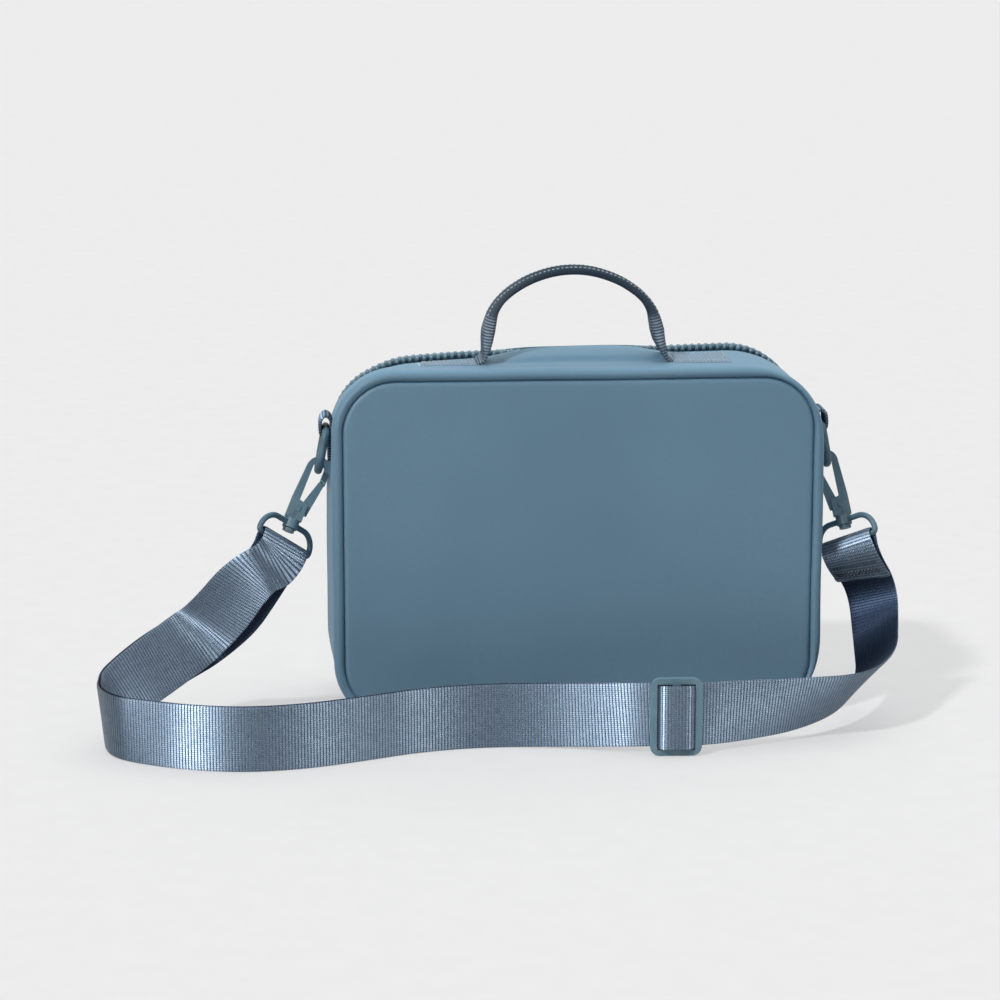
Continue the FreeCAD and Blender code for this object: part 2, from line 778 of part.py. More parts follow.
def strap_pieces():
    count = len(strap_points()) - 2
    left = strap_stations(0, run_start)
    from_left = run_lengths(left)
    write("strap_riser_left", strap_layer(left, 1, from_left))
    write("strap_return_riser", strap_layer(left, -1, from_left))
    run = strap_stations(run_start, run_end)
    write("strap_run", strap_layer(run, 1, [layer_merge] * len(run)))
    back = strap_stations(run_start, return_end)
    write("strap_return", strap_layer(back, -1, [layer_merge] * len(back)))
    right = strap_stations(run_end, count)
    lengths = run_lengths(right)
    from_right = [lengths[-1] - reach for reach in lengths]
    write("strap_riser_right", strap_layer(right, 1, from_right))
    flap = [(s, r) for s, r in zip(right, from_right) if r <= end_flap_length]
    write("strap_end_flap", strap_layer([s for s, r in flap], -1, [r for s, r in flap]))
    whole = strap_stations(0, count)
    print("strap route length", round(run_lengths(whole)[-1], 1))
    report_bends()


def report_bends():
    """Bend radius at each route point, from its two runs."""
    places = [place for place, edge in strap_points()]
    for index in range(1, len(places) - 1):
        before = places[index] - places[index - 1]
        after = places[index + 1] - places[index]
        turn = before.getAngle(after)
        radius = bend_share * min(before.Length, after.Length) / math.tan(turn / 2)
        print("route point", index, "turn", round(math.degrees(turn), 1), "radius", round(radius, 1))


def glide_placement():
    """Frame of the strap slider: x along the strap, y towards its back and z up."""
    points = strap_points()
    here = (points[glide_after][0] + points[glide_after + 1][0]) * 0.5
    along = (points[glide_after + 1][0] - points[glide_after][0]).normalize()
    up = V(0, 0, 1)
    up = (up - along * up.dot(along)).normalize()
    inward = up.cross(along)
    strap_front = layer_offset + strap_webbing / 2
    stand_off = strap_front + strap_webbing + glide_thickness / 2 + 2 * glide_clear
    at = here - inward * stand_off
    x, y, z = along, inward, up
    matrix = FreeCAD.Matrix(x.x, y.x, z.x, at.x, x.y, y.y, z.y, at.y, x.z, y.z, z.z, at.z, 0, 0, 0, 1)
    return FreeCAD.Placement(matrix)


def rounded_plate(length, height, corner, thickness):
    plate = Part.makeBox(length, thickness, height, V(-length / 2, -thickness / 2, -height / 2))
    uprights = [e for e in plate.Edges if abs(e.tangentAt(e.FirstParameter).y) > 1 - tiny]
    return plate.makeFillet(corner, uprights)


def strap_glide():
    """Slider frame with a bar across its middle."""
    frame = rounded_plate(glide_length, glide_height, glide_corner, glide_thickness)
    window = (glide_length - glide_centre_bar) / 2 - glide_end_bar
    tall = glide_height - 2 * glide_side_bar
    for side in (-1, 1):
        middle = side * (glide_centre_bar + window) / 2
        corner = V(middle - window / 2, -glide_thickness, -tall / 2)
        frame = frame.cut(Part.makeBox(window, 2 * glide_thickness, tall, corner))
    return frame


def glide_wrap():
    """The short length of webbing that comes up over the slider's middle bar."""
    behind = glide_thickness / 2 + glide_clear + strap_webbing / 2
    over = -behind - glide_clear
    shoulder = glide_centre_bar / 2 + glide_clear + strap_webbing / 2
    dive = glide_length / 2 - glide_end_bar - strap_webbing
    end = glide_length / 2 - glide_clear
    left = [(-end, behind), (-dive, behind), (-shoulder, over)]
    route = left + [(shoulder, over), (dive, behind), (end, behind)]
    sections = []
    for index, (x, y) in enumerate(route):
        before = V(*route[max(index - 1, 0)], 0)
        after = V(*route[min(index + 1, len(route) - 1)], 0)
        along = (after - before).normalize()
        sections.append((V(x, y, 0), V(0, 0, 1), V(along.y, -along.x, 0), strap_width, strap_webbing))
    return ribbon(sections)


def glide_pieces():
    placement = glide_placement()
    write("strap_glide", placed(strap_glide(), placement))
    write("strap_glide_wrap", placed(glide_wrap(), placement))
    print("glide at", placement.Base, "along", placement.Rotation.multVec(V(1, 0, 0)))


def side_pieces(side, name, hang):
    write("side_loop_" + name, side_loop(side))
    write("side_ring_" + name, d_ring(side))
    hook = hook_placement(side, hang)
    write("hook_" + name, placed(hook_body(), hook))
    write("gate_" + name, placed(gate(), hook))
    write("gate_rivet_" + name, placed(gate_rivet(), hook))
    write("gate_spring_" + name, placed(gate_spring(), hook))
    write("swivel_post_" + name, placed(swivel_post(), hook))
    ring = hook.multiply(swivel_turn(hang))
    write("strap_ring_" + name, placed(strap_ring(), ring))
    write("strap_fold_" + name, placed(strap_fold(), ring))
    bar = ring.multVec(V(-hook_axis_offset, 0, strap_bar_z))
    gate_side, through_hook, up = hook_axes(side, hang)
    rivet = hook.multVec(V(rivet_x, 0, rivet_z))
    print(name, "ring bar", ring_bar_centre(side), "hook pivot", hook_pivot(side))
    print(name, "hook up", up, "hook through", through_hook, "rivet", rivet)
    print(name, "swivel axis point", hook.multVec(V(-hook_axis_offset, 0, 0)))
    print(name, "strap bar", bar, "along", ring.Rotation.multVec(V(1, 0, 0)))
    print(name, "strap ring through", ring.Rotation.multVec(V(0, 1, 0)))


os.makedirs("parts", exist_ok=True)
bag_pieces()
lid_pieces()
zip_pieces()
zip_slider_piece()
zip_pull_piece()
handle_pieces()
side_pieces(-1, "left", hang_left)
side_pieces(1, "right", hang_right)
strap_pieces()
glide_pieces()
print("handle axis z", handle_axis_z, "zip y", zip_y, "pull pin", pull_pin_x, slider_middle_z)
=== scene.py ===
import math

import bpy
import numpy as np
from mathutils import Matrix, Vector, noise


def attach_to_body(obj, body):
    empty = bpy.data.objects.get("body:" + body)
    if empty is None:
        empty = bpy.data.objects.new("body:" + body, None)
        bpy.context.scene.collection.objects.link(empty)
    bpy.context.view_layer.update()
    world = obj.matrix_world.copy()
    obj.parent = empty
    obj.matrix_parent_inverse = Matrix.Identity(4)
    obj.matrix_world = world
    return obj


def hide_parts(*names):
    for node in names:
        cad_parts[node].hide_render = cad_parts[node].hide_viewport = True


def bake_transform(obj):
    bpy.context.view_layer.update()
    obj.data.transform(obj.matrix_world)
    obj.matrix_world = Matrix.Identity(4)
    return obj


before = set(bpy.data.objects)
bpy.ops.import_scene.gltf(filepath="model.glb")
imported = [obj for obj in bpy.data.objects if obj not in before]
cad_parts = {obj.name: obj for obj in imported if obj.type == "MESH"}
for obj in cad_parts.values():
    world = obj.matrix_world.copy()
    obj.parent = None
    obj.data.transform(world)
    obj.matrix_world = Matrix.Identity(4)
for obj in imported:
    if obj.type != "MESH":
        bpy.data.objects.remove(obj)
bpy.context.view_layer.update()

# Lengths in this file are in millimetres, and objects are made in metres
MM = 0.001

# Bag, as in the part
HALF_WIDTH = 125.0
HEIGHT = 184.0
CORNER = 42.0
FOLD_Z = 40.0
FOLD_GAP = 0.3
ZIP_Y = 23.0
HANDLE_Y = -11.0
LOOP_Z = 149.6


# Materials. Their colours are middle, light and dark, in 0 to 255 screen values

def srgb(r, g, b):
    """A colour in screen values, as linear light."""
    out = []
    for value in (r, g, b):
        v = value / 255.0
        out.append(v / 12.92 if v <= 0.04045 else ((v + 0.055) / 1.055) ** 2.4)
    return (*out, 1.0)


def constant(value):
    """What a socket is set to: a number, or a colour in screen values."""
    return srgb(*value) if isinstance(value, tuple) else value


class Nodes:
    """Adds and links shader nodes in one tree."""

    def __init__(self, tree):
        self.tree = tree

    def link(self, source, target):
        self.tree.links.new(source, target)

    def new(self, kind, sockets=(), **options):
        """A node with its options, and with its sockets set to constants or linked to outputs."""
        node = self.tree.nodes.new("ShaderNode" + kind)
        for key, value in options.items():
            setattr(node, key, value)
        for key, value in dict(sockets).items():
            if isinstance(value, (int, float, tuple)):
                node.inputs[key].default_value = constant(value)
            else:
                self.link(value, node.inputs[key])
        return node

    def add(self, kind, output=0, sockets=(), **options):
        return self.new(kind, sockets, **options).outputs[output]

    def geometry(self, name):
        return self.add("NewGeometry", name)

    def attribute(self, name):
        return self.add("Attribute", "Vector", attribute_name=name)

    def noise(self, vector, scale, detail=3.0, rough=0.55):
        return self.add("TexNoise", "Fac", {"Vector": vector, "Scale": scale, "Detail": detail, "Roughness": rough})

    def math(self, operation, *values):
        return self.add("Math", 0, enumerate(values), operation=operation)

    def vector(self, operation, *values):
        return self.add("VectorMath", 0, enumerate(values), operation=operation)

    def scaled(self, vector, scale):
        return self.add("VectorMath", 0, {0: vector, "Scale": scale}, operation="SCALE")

    def ramp(self, factor, stops):
        node = self.new("ValToRGB", {"Fac": factor})
        elements = node.color_ramp.elements
        while len(elements) < len(stops):
            elements.new(0.5)
        for element, (place, colour) in zip(elements, stops):
            element.position = place
            element.color = srgb(*colour)
        return node.outputs["Color"]

    def spread(self, factor, source, target):
        """A factor's range, from two values to two others."""
        return self.add("MapRange", 0, enumerate((factor, *source, *target)))

    def mix(self, factor, a, b):
        return self.add("Mix", 2, {"Factor": factor, 6: a, 7: b}, data_type="RGBA")

    def mix_shader(self, *values):
        return self.add("MixShader", 0, enumerate(values))

    def bump(self, height, strength, distance, **before):
        return self.add("Bump", "Normal", {"Height": height, "Strength": strength, "Distance": distance, **before})

    def seen(self):
        """1 for what the camera sees straight on, in gloss or through glass, and 0 for light on the object."""
        rays = self.new("LightPath").outputs
        shown = self.math("MAXIMUM", rays["Is Camera Ray"], rays["Is Glossy Ray"])
        return self.math("MAXIMUM", shown, rays["Is Transmission Ray"])


class Surface(Nodes):
    """A new material. Constants are set on its shader's own sockets."""

    def __init__(self, name, **constants):
        self.material = bpy.data.materials.new(name)
        self.material.use_nodes = True
        super().__init__(self.material.node_tree)
        self.shader = self.tree.nodes["Principled BSDF"]
        for key, value in constants.items():
            self.shader.inputs[key.replace("_", " ")].default_value = constant(value)

    def finish(self, colour, normal=None, rough=None):
        for name, source in (("Base Color", colour), ("Normal", normal), ("Roughness", rough)):
            if source is not None:
                self.link(source, self.shader.inputs[name])
        return self.material


def cloth_material(name, colour, light, dark):
    """Smooth coated cloth with a fine grain and slow changes of shade."""
    n = Surface(name, Roughness=0.58, Specular_IOR_Level=0.25, Sheen_Weight=0.2, Sheen_Roughness=0.4,
                Sheen_Tint=(200, 215, 225))
    place = n.geometry("Position")
    grain = n.noise(place, scale=1700.0, detail=2.0, rough=0.6)
    cloud = n.noise(place, scale=9.0, detail=2.0, rough=0.5)
    fleck = n.noise(place, scale=520.0, detail=4.0, rough=0.65)
    base = n.ramp(cloud, [(0.25, dark), (0.5, colour), (0.75, light)])
    flecked = n.mix(n.spread(fleck, (0.4, 0.75), (0.0, 0.45)), base, dark)
    fine = n.bump(grain, strength=0.20, distance=0.0003)
    normal = n.bump(fleck, strength=0.12, distance=0.0005, Normal=fine)
    return n.finish(flecked, normal, n.spread(grain, (0.3, 0.7), (0.50, 0.62)))


# How far the sides of a webbing's round thread lean
THREAD_LEAN = 1.3


def webbing_material(name, colour, light, dark, rib, warp, inner=None, rough=0.58, metallic=0.85, ribbing=0.30,
                     specular=0.5):
    """Satin webbing: round threads along its length, in ribs that run across it.
    The weave layer holds millimetres along and across the webbing and its face, 1 or -1.
    The grain layer points across it. Rib crests are painted lighter and valleys and thread gaps darker, as painted
    highlight and painted shade. Its -1 face may be painted darker still, as painted shade."""
    n = Surface(name, Roughness=rough, Specular_IOR_Level=specular, Metallic=metallic, Anisotropic=0.95)
    place = n.attribute("weave")
    along_mm, across_mm, side = n.new("SeparateXYZ", {0: place}).outputs

    def phase(value, size, reach):
        """Place within each repeat of a size, from -reach / 2 to reach / 2."""
        return n.math("MULTIPLY", n.math("SUBTRACT", n.math("FRACT", n.math("DIVIDE", value, size)), 0.5), reach)

    aside = phase(across_mm, warp, THREAD_LEAN)
    ahead = phase(along_mm, rib, 2.0)
    upright = n.math("SQRT", n.math("SUBTRACT", 1.0, n.math("MULTIPLY", aside, aside)))
    tip = n.math("MULTIPLY", n.math("MULTIPLY", ahead, n.math("MULTIPLY", ahead, ahead)), ribbing)
    face = n.geometry("Normal")
    across = n.attribute("grain")
    n.link(across, n.shader.inputs["Tangent"])
    along = n.vector("CROSS_PRODUCT", across, face)
    leaning = n.scaled(face, upright)
    for way, share in ((across, aside), (along, tip)):
        leaning = n.vector("ADD", leaning, n.scaled(way, share))
    # Rib crests are painted lighter and rib valleys darker, as painted highlight and painted shade, and the gaps
    # between threads get painted shade too
    shade = n.ramp(n.math("ABSOLUTE", ahead), [(0.0, light), (0.5, colour), (0.95, dark)])
    painted_gap_shade = n.mix(n.spread(n.math("ABSOLUTE", aside), (0.48, 0.65), (0.0, 0.3)), shade, dark)
    fray = n.noise(place, scale=0.3)
    toned = n.mix(n.spread(fray, (0.35, 0.75), (0.0, 0.3)), painted_gap_shade, dark)
    # The webbing's inner face, and on the handle its grip, are painted darker still, as painted shade
    if inner is not None:
        toned = n.mix(n.spread(side, (-0.5, 0.5), (0.92, 0.0)), toned, inner)
    return n.finish(toned, n.vector("NORMALIZE", leaning), n.spread(fray, (0.3, 0.7), (rough - 0.03, rough + 0.04)))


def coated_material(name, colour, light, dark, rough, specular=0.4):
    """Painted metal or moulded plastic with faint mottling and paler sharp edges."""
    n = Surface(name, Roughness=rough, Specular_IOR_Level=specular)
    place = n.geometry("Position")
    orange = n.noise(place, scale=900.0, detail=2.0)
    cloud = n.noise(place, scale=120.0)
    base = n.ramp(cloud, [(0.3, dark), (0.55, colour), (0.8, light)])
    toned = n.mix(n.spread(n.geometry("Pointiness"), (0.52, 0.62), (0.0, 0.5)), base, light)
    normal = n.bump(orange, strength=0.10, distance=0.0002)
    return n.finish(toned, normal, n.spread(cloud, (0.3, 0.7), (rough - 0.05, rough + 0.07)))


def tape_material(name, colour, dark):
    """Zip tape: a fine herringbone of threads."""
    n = Surface(name, Roughness=0.75, Specular_IOR_Level=0.3)
    threads = n.add("TexWave", "Fac", {"Vector": n.geometry("Position"), "Scale": 420.0, "Distortion": 1.5,
                                       "Detail": 1.0}, wave_type="BANDS", bands_direction="Y")
    shade = n.ramp(threads, [(0.2, dark), (0.8, colour)])
    return n.finish(shade, n.bump(threads, strength=0.4, distance=0.0003))


shell_cloth = cloth_material("shell_cloth", (116, 156, 181), (119, 159, 184), (109, 149, 174))
liner_cloth = cloth_material("liner_cloth", (178, 186, 190), (188, 196, 199), (165, 174, 179))
# The strap's ribs carry painted highlight and shade, and its inner face is painted dark navy, as painted shade
strap_weave = webbing_material("strap_weave", (108, 125, 142), (138, 150, 160), (72, 89, 110), rib=1.6, warp=1.07,
                               inner=(20, 35, 57), rough=0.51)
# The handle's legs get painted highlights on their rib crests, and its grip is painted darker, as painted shade
handle_weave = webbing_material("handle_weave", (92, 112, 130), (150, 168, 184), (36, 49, 63), rib=1.5, warp=1.3,
                                inner=(40, 58, 74), metallic=0.1, ribbing=0.2, specular=0.25)
# The handle's sewn ends are a much lighter copy of the handle's webbing: painted sheen and light from above
tab_weave_painted_sheen = webbing_material("tab_weave_painted_sheen", (132, 156, 174), (139, 162, 180), (124, 147, 165), rib=1.9, warp=1.3,
                             metallic=0.3, ribbing=0.15)
loop_weave = webbing_material("loop_weave", (92, 110, 128), (124, 143, 160), (48, 60, 74), rib=1.4, warp=1.2)
coated_metal = coated_material("coated_metal", (88, 120, 138), (114, 146, 162), (78, 108, 125), rough=0.5,
                               specular=0.3)
glide_coat = coated_material("glide_coat", (104, 144, 163), (132, 168, 184), (94, 132, 151), rough=0.42)
zip_plastic = coated_material("zip_plastic", (116, 148, 164), (138, 168, 182), (102, 132, 148), rough=0.45)
zip_cloth = tape_material("zip_cloth", (92, 116, 132), (70, 92, 108))
spring_steel = coated_material("spring_steel", (150, 154, 156), (180, 184, 186), (120, 124, 126), rough=0.3)
light_thread = coated_material("light_thread", (170, 186, 198), (196, 208, 218), (150, 168, 182), rough=0.4)
dark_thread = coated_material("dark_thread", (34, 47, 64), (54, 68, 86), (24, 34, 48), rough=0.45)


# Mesh helpers

scene = bpy.context.scene
UP = (0.0, 0.0, 1.0)
DEEP = (0.0, 1.0, 0.0)


def add_object(name, data):
    obj = bpy.data.objects.new(name, data)
    scene.collection.objects.link(obj)
    return obj


def make_object(name, points, faces, material, **layers):
    mesh = bpy.data.meshes.new(name)
    mesh.from_pydata((np.asarray(points, float) * MM).tolist(), [], faces)
    mesh.polygons.foreach_set("use_smooth", [True] * len(mesh.polygons))
    for key, values in layers.items():
        layer = mesh.attributes.new(key, "FLOAT_VECTOR", "POINT")
        layer.data.foreach_set("vector", np.asarray(values, np.float32).ravel())
    mesh.materials.append(material)
    mesh.update()
    return add_object(name, mesh)


def attach(piece, motion, nodes=()):
    """A piece rides on a body, or, given two bodies and blend ends, only has its transform applied; it may stand for
    nodes of the part.
    """
    if isinstance(motion, str):
        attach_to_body(piece, motion)
    else:
        first, second, start, end = motion
        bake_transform(piece)
    if nodes:
        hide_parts(*nodes)


def grid_faces(rows, cols, close_cols=False, first=0):
    faces = []
    last = cols if close_cols else cols - 1
    for r in range(rows - 1):
        for c in range(last):
            d = (c + 1) % cols
            faces.append((first + r * cols + c, first + r * cols + d,
                          first + (r + 1) * cols + d, first + (r + 1) * cols + c))
    return faces


def turned(faces):
    """The same faces, looking the other way."""
    return [f[::-1] for f in faces]


def ring_face(first, count):
    return tuple(range(first, first + count))


def tube_faces(rings, count, first=0):
    """A tube of rings, closed at both ends."""
    ends = [ring_face(first, count)[::-1], ring_face(first + (rings - 1) * count, count)]
    return grid_faces(rings, count, close_cols=True, first=first) + ends


def unit(v):
    v = np.asarray(v, float)
    return v / np.linalg.norm(v, axis=-1, keepdims=True)


def smooth(t):
    t = np.clip(t, 0.0, 1.0)
    return t * t * (3 - 2 * t)


def rising(value, start, over):
    """A smooth step from 0 to 1, from a start and over a length."""
    return smooth((value - start) / over)


def soft_noise(points, scale, seed):
    """Slow random swell at each point, from -1 to 1, the same each run."""
    return np.array([noise.noise(Vector((p[0] / scale + seed, p[1] / scale, p[2] / scale))) for p in points])


def read_spline(points):
    """Points along the smooth NURBS line that has these control points."""
    curve = bpy.data.curves.new("route", "CURVE")
    curve.dimensions = "3D"
    line = curve.splines.new("NURBS")
    line.points.add(len(points) - 1)
    for knot, p in zip(line.points, points):
        knot.co = (*p, 1.0)
    line.order_u = 3
    line.use_endpoint_u = True
    line.resolution_u = 12
    holder = add_object("route", curve)
    mesh = bpy.data.meshes.new_from_object(holder)
    out = np.array([v.co for v in mesh.vertices], float)
    bpy.data.objects.remove(holder)
    bpy.data.curves.remove(curve)
    bpy.data.meshes.remove(mesh)
    return out


def lengths_of(points):
    return np.concatenate([[0.0], np.cumsum(np.linalg.norm(np.diff(points, axis=0), axis=1))])


# The bag's outline, walked from the middle of the base towards +X and round

FLAT_X = HALF_WIDTH - CORNER
FLAT_Z = HEIGHT - 2 * CORNER
ARC = CORNER * math.pi / 2
TOP = HEIGHT - CORNER
RUNS = [FLAT_X, ARC, FLAT_Z, ARC, 2 * FLAT_X, ARC, FLAT_Z, ARC, FLAT_X]
WALK = sum(RUNS)
LEG_STARTS = np.concatenate([[0.0], np.cumsum(RUNS)])
# Where each straight leg starts, or the centre of each corner, and the straight legs' outward directions
LEG_PLACES = [(0.0, 0.0), (FLAT_X, CORNER), (HALF_WIDTH, CORNER), (FLAT_X, TOP), (FLAT_X, HEIGHT), (-FLAT_X, TOP),
              (-HALF_WIDTH, TOP), (-FLAT_X, CORNER), (-FLAT_X, 0.0)]
SIDES = [(0.0, -1.0), (1.0, 0.0), (0.0, 1.0), (-1.0, 0.0)]


def outline_at(s):
    """Point and outward direction, in X and Z, at a length along the outline."""
    s = s % WALK
    leg = int(np.searchsorted(LEG_STARTS, s, side="right")) - 1
    t = s - LEG_STARTS[leg]
    x, z = LEG_PLACES[leg]
    quarter, curved = divmod(leg, 2)
    if not curved:
        nx, nz = SIDES[quarter % 4]
        return (x - nz * t, z + nx * t), (nx, nz)
    angle = math.radians(90 * (quarter - 1)) + t / CORNER
    nx, nz = math.cos(angle), math.sin(angle)
    return (x + CORNER * nx, z + CORNER * nz), (nx, nz)


def walk_at_height(z):
    """Length along the outline, on the +X side, at a height within the lower corner."""
    return FLAT_X + CORNER * (math.pi / 2 + math.asin((z - CORNER) / CORNER))


FOLD_WALK = walk_at_height(FOLD_Z)
LID_WALK = walk_at_height(FOLD_Z + FOLD_GAP)
SHELL_STEP = 2.6
LINING_STEP = 4.0


def walk_columns(start, end, step=SHELL_STEP):
    count = max(2, int(round((end - start) / step)))
    return np.linspace(start, end, count + 1)


def band_columns(step):
    """Columns along the base up to the fold, then round the whole bag, then along the zip."""
    base = walk_columns(-FOLD_WALK, FOLD_WALK, step)
    upper = walk_columns(FOLD_WALK, WALK - FOLD_WALK, step)[1:-1]
    return base, np.concatenate([base, upper]), np.concatenate([[base[-1]], upper, [base[0] + WALK]])


# How far the padding stands out at each depth: on the sides, on the top, and in the puffed middle of the top
SIDE_SWELL = ((-39, -36, -33, -24, -10, 2, 10, 18.5, 30, 39),
              (1.1, 0.6, 0.7, 1.9, 3.3, 3.7, 2.6, 1, 0.9, 1.2))
TOP_SWELL = ((-39, -36, -32, -20, -8, 6, 14, 18.5, 25, 39),
             (1.1, -0.1, -0.5, 0.1, -0.2, -1.1, -2, -2.6, 0.2, 1.3))
TOP_PUFF = ((-39, -35, -30, -25, -20, -16.5, -15, -14, -13, -12, -10.5, -8, -4, 0, 4, 8, 13, 17, 18.5),
            (0, 0.8, 1.2, 0.9, 0.3, -0.2, 0.1, 0.9, 1.9, 2.7, 3.3, 3.9, 4.9, 5.6, 5.9, 5.8, 4.9, 3.1, 2.4))
PUFF_X, PUFF_HALF = 3.0, 42.0

# Where the sides draw in, as middle and half size in height and in depth: at the loops, and at the right strap ring
LOOP_DENT = (LOOP_Z, 20.0, HANDLE_Y, 16.0)
RING_DENT = (84.0, 16.0, -19.0, 13.0)
LOOP_DENT_SHARE = 0.85


def dent(z, y, place, power):
    """1 in the middle of a dent and 0 well outside it."""
    middle_z, half_z, middle_y, half_y = place
    return math.exp(-((z - middle_z) / half_z) ** power) * math.exp(-((y - middle_y) / half_y) ** power)


def bulge(x, z, nx, nz, y):
    """How far the padded gusset stands out from the outline."""
    side_swell = np.interp(y, *SIDE_SWELL) * (1 - LOOP_DENT_SHARE * dent(z, y, LOOP_DENT, 2))
    if x > 0:
        side_swell *= 1 - dent(z, y, RING_DENT, 4)
    puff = math.exp(-(((x - PUFF_X) / PUFF_HALF) ** 4))
    top_swell = np.interp(y, *TOP_SWELL) + puff * np.interp(y, *TOP_PUFF)
    return nx * nx * side_swell + max(nz, 0.0) ** 2 * top_swell


# Height that the zip's side of the top gains or loses along X, as the full bag leans in the photograph
LEAN = read_spline([(-140, 0, 0), (-124, -0.6, 0), (-113, -2.2, 0), (-103, -3.9, 0), (-88, -3.2, 0),
                    (-65, -1.4, 0), (-45, -0.5, 0), (0, 0, 0), (50, 1, 0), (70, 1.6, 0), (90, 2.1, 0),
                    (105, 1.9, 0), (118, 1, 0), (140, 0, 0)])
LEAN_STEP = (-30.0, 45.0)
SAG, SAG_STEP = 3.0, (26.0, 3.0)
SAG_SLOPE, SLOPE_FROM = 0.22, 28.0
SOFT_STEP = (112.0, 45.0)


def settle(points):
    """The soft top leans at the zip, and the lid's share of it sags behind the teeth."""
    points = np.array(points, float)
    x, y, z = points.T
    lean = np.interp(x, LEAN[:, 0], LEAN[:, 1]) * rising(y, *LEAN_STEP)
    sag = SAG * rising(y, *SAG_STEP) + SAG_SLOPE * np.maximum(y - SLOPE_FROM, 0.0)
    points[:, 2] += rising(z, *SOFT_STEP) * (lean - sag)
    return points


# Depth and offset of each row in the rolled edge, and depths of the gusset's other rows
ROLL = [(42.4, -4.3), (43.4, -4.1), (44.5, -3.8), (45.3, -3.2), (45.7, -2.3), (45.8, -1.3), (45.3, -0.2),
        (44.3, 0.7), (42.8, 1.25), (41, 1.4)]
GUSSET_YS = [-38.5, -36, -33, -30, -27, -24, -21, -18, -16.5, -15.5, -14.8, -14, -13, -12, -10.5, -8.5, -6, -3,
             0, 3, 6, 9, 12, 14.5, 16.5, 17.8, 18.5]
BASE_YS = [20, 22, 24, 26, 28, 30, 33, 36, 38.5]
STRIP_YS = [27.5, 28.2, 29.5, 31, 33, 36, 38.5]
# Depth and sink of the hems that turn in to the zip's tape
BAG_HEM = ((18.7, 0.5), (18.5, 1.2), (17.6, 1.7))
LID_HEM = ((28.4, 1.7), (27.6, 1.2), (27.4, 0.5))

# The full back stands out into its corners, which are tighter than the zip's, and less so on the right
BACK_CORNER = 31.0
RIGHT_FILL = 0.4
FILL_STEP = (-36.0, 40.0)


def corner_fill(nx, nz):
    """How far the back's tighter corner stands out from the outline's."""
    less, more = sorted((abs(nx), abs(nz)))
    shift = CORNER - BACK_CORNER
    if less / more <= shift / CORNER:
        return CORNER / more - CORNER
    along = shift * (less + more)
    return along + math.sqrt(along ** 2 - 2 * shift ** 2 + BACK_CORNER ** 2) - CORNER


def back_fill(y, right=RIGHT_FILL):
    """Share of the fuller corners at a depth, on the left and on the right."""
    share = 1 - rising(y, *FILL_STEP)
    return (share, share * right)


def gusset_row(columns, y, offset=None, sink=0.0, fill=(0.0, 0.0)):
    """One ring of points at a depth, each pushed out by the padding, less sink, or by a fixed offset.
    fill is the share of the back's fuller corners that it takes on the left and on the right."""
    row = []
    for s in columns:
        (x, z), (nx, nz) = outline_at(s)
        out = bulge(x, z, nx, nz, y) - sink
        if offset is not None:
            under = max(-nz, 0.0) ** 2
            out = offset if offset < 0 else offset * (1 - under)
        out += fill[nx > 0] * corner_fill(nx, nz)
        row.append((x + nx * out, y, z + nz * out))
    return np.array(row)


RIPPLE_SCALE = 38.0
CALM_BELOW = 12.0


def ripple(points, amount, seed):
    """Slow swells in soft cloth, kept off the floor."""
    swell = soft_noise(points, RIPPLE_SCALE, seed) * amount
    calm = np.clip(points[:, 2] / CALM_BELOW, 0.0, 1.0)
    away = points - np.array([0.0, 0.0, HEIGHT / 2])
    away[:, 1] = 0.0
    return points + unit(away) * (swell * calm)[:, None]


# Depth that the rolled front edge keeps within at the fold, and how much more it has a little way off
FOLD_DEPTH, FOLD_SLACK, SLACK_OVER = 44.4, 1.5, 5.0


def roll_rows(columns, side, from_fold=None):
    """The rolled edge. At the fold it draws in behind the hinge line."""
    lowest, highest = ROLL[0][1], ROLL[-1][1]
    rows = []
    for y, offset in ROLL:
        right = np.interp(offset, [lowest, highest], [1.0, RIGHT_FILL])
        row = gusset_row(columns, side * y, offset, fill=back_fill(side * y, right))
        if from_fold is not None:
            row[:, 1] = np.minimum(row[:, 1], FOLD_DEPTH + FOLD_SLACK * smooth(from_fold / SLACK_OVER))
        rows.append(row)
    return rows


def band_mesh(rows, front, hem):
    """A closed band of rows. Front rows carry it on along the base, and a hem along the zip."""
    count, width = len(rows[0]), len(front[0])
    points = list(np.concatenate(rows))
    faces = grid_faces(len(rows), count, close_cols=True)
    edge = list(ring_face((len(rows) - 1) * count, count))
    for joined, more in ((edge[:width], front), (edge[width - 1:] + edge[:1], hem)):
        start = len(points)
        points += list(np.concatenate(more))
        faces += [(joined[c], joined[c + 1], start + c + 1, start + c) for c in range(len(joined) - 1)]
        faces += grid_faces(len(more), len(joined), first=start)
    return points, faces


def bag_gusset():
    """The band round the bag: rolled back edge, padded gusset to the zip, and the base up to the fold."""
    base, columns, zip_columns = band_columns(SHELL_STEP)
    rows = roll_rows(columns, -1) + [gusset_row(columns, y, fill=back_fill(y)) for y in GUSSET_YS]
    front = [gusset_row(base, y) for y in BASE_YS] + roll_rows(base, 1, FOLD_WALK - np.abs(base))[::-1]
    hem = [gusset_row(zip_columns, y, sink=sink) for y, sink in BAG_HEM]
    points, faces = band_mesh(rows, front, hem)
    points = settle(ripple(np.array(points), amount=0.35, seed=3.1))
    points[:, 2] = np.maximum(points[:, 2], 0.0)
    return make_object("bag_gusset", points, faces, shell_cloth)


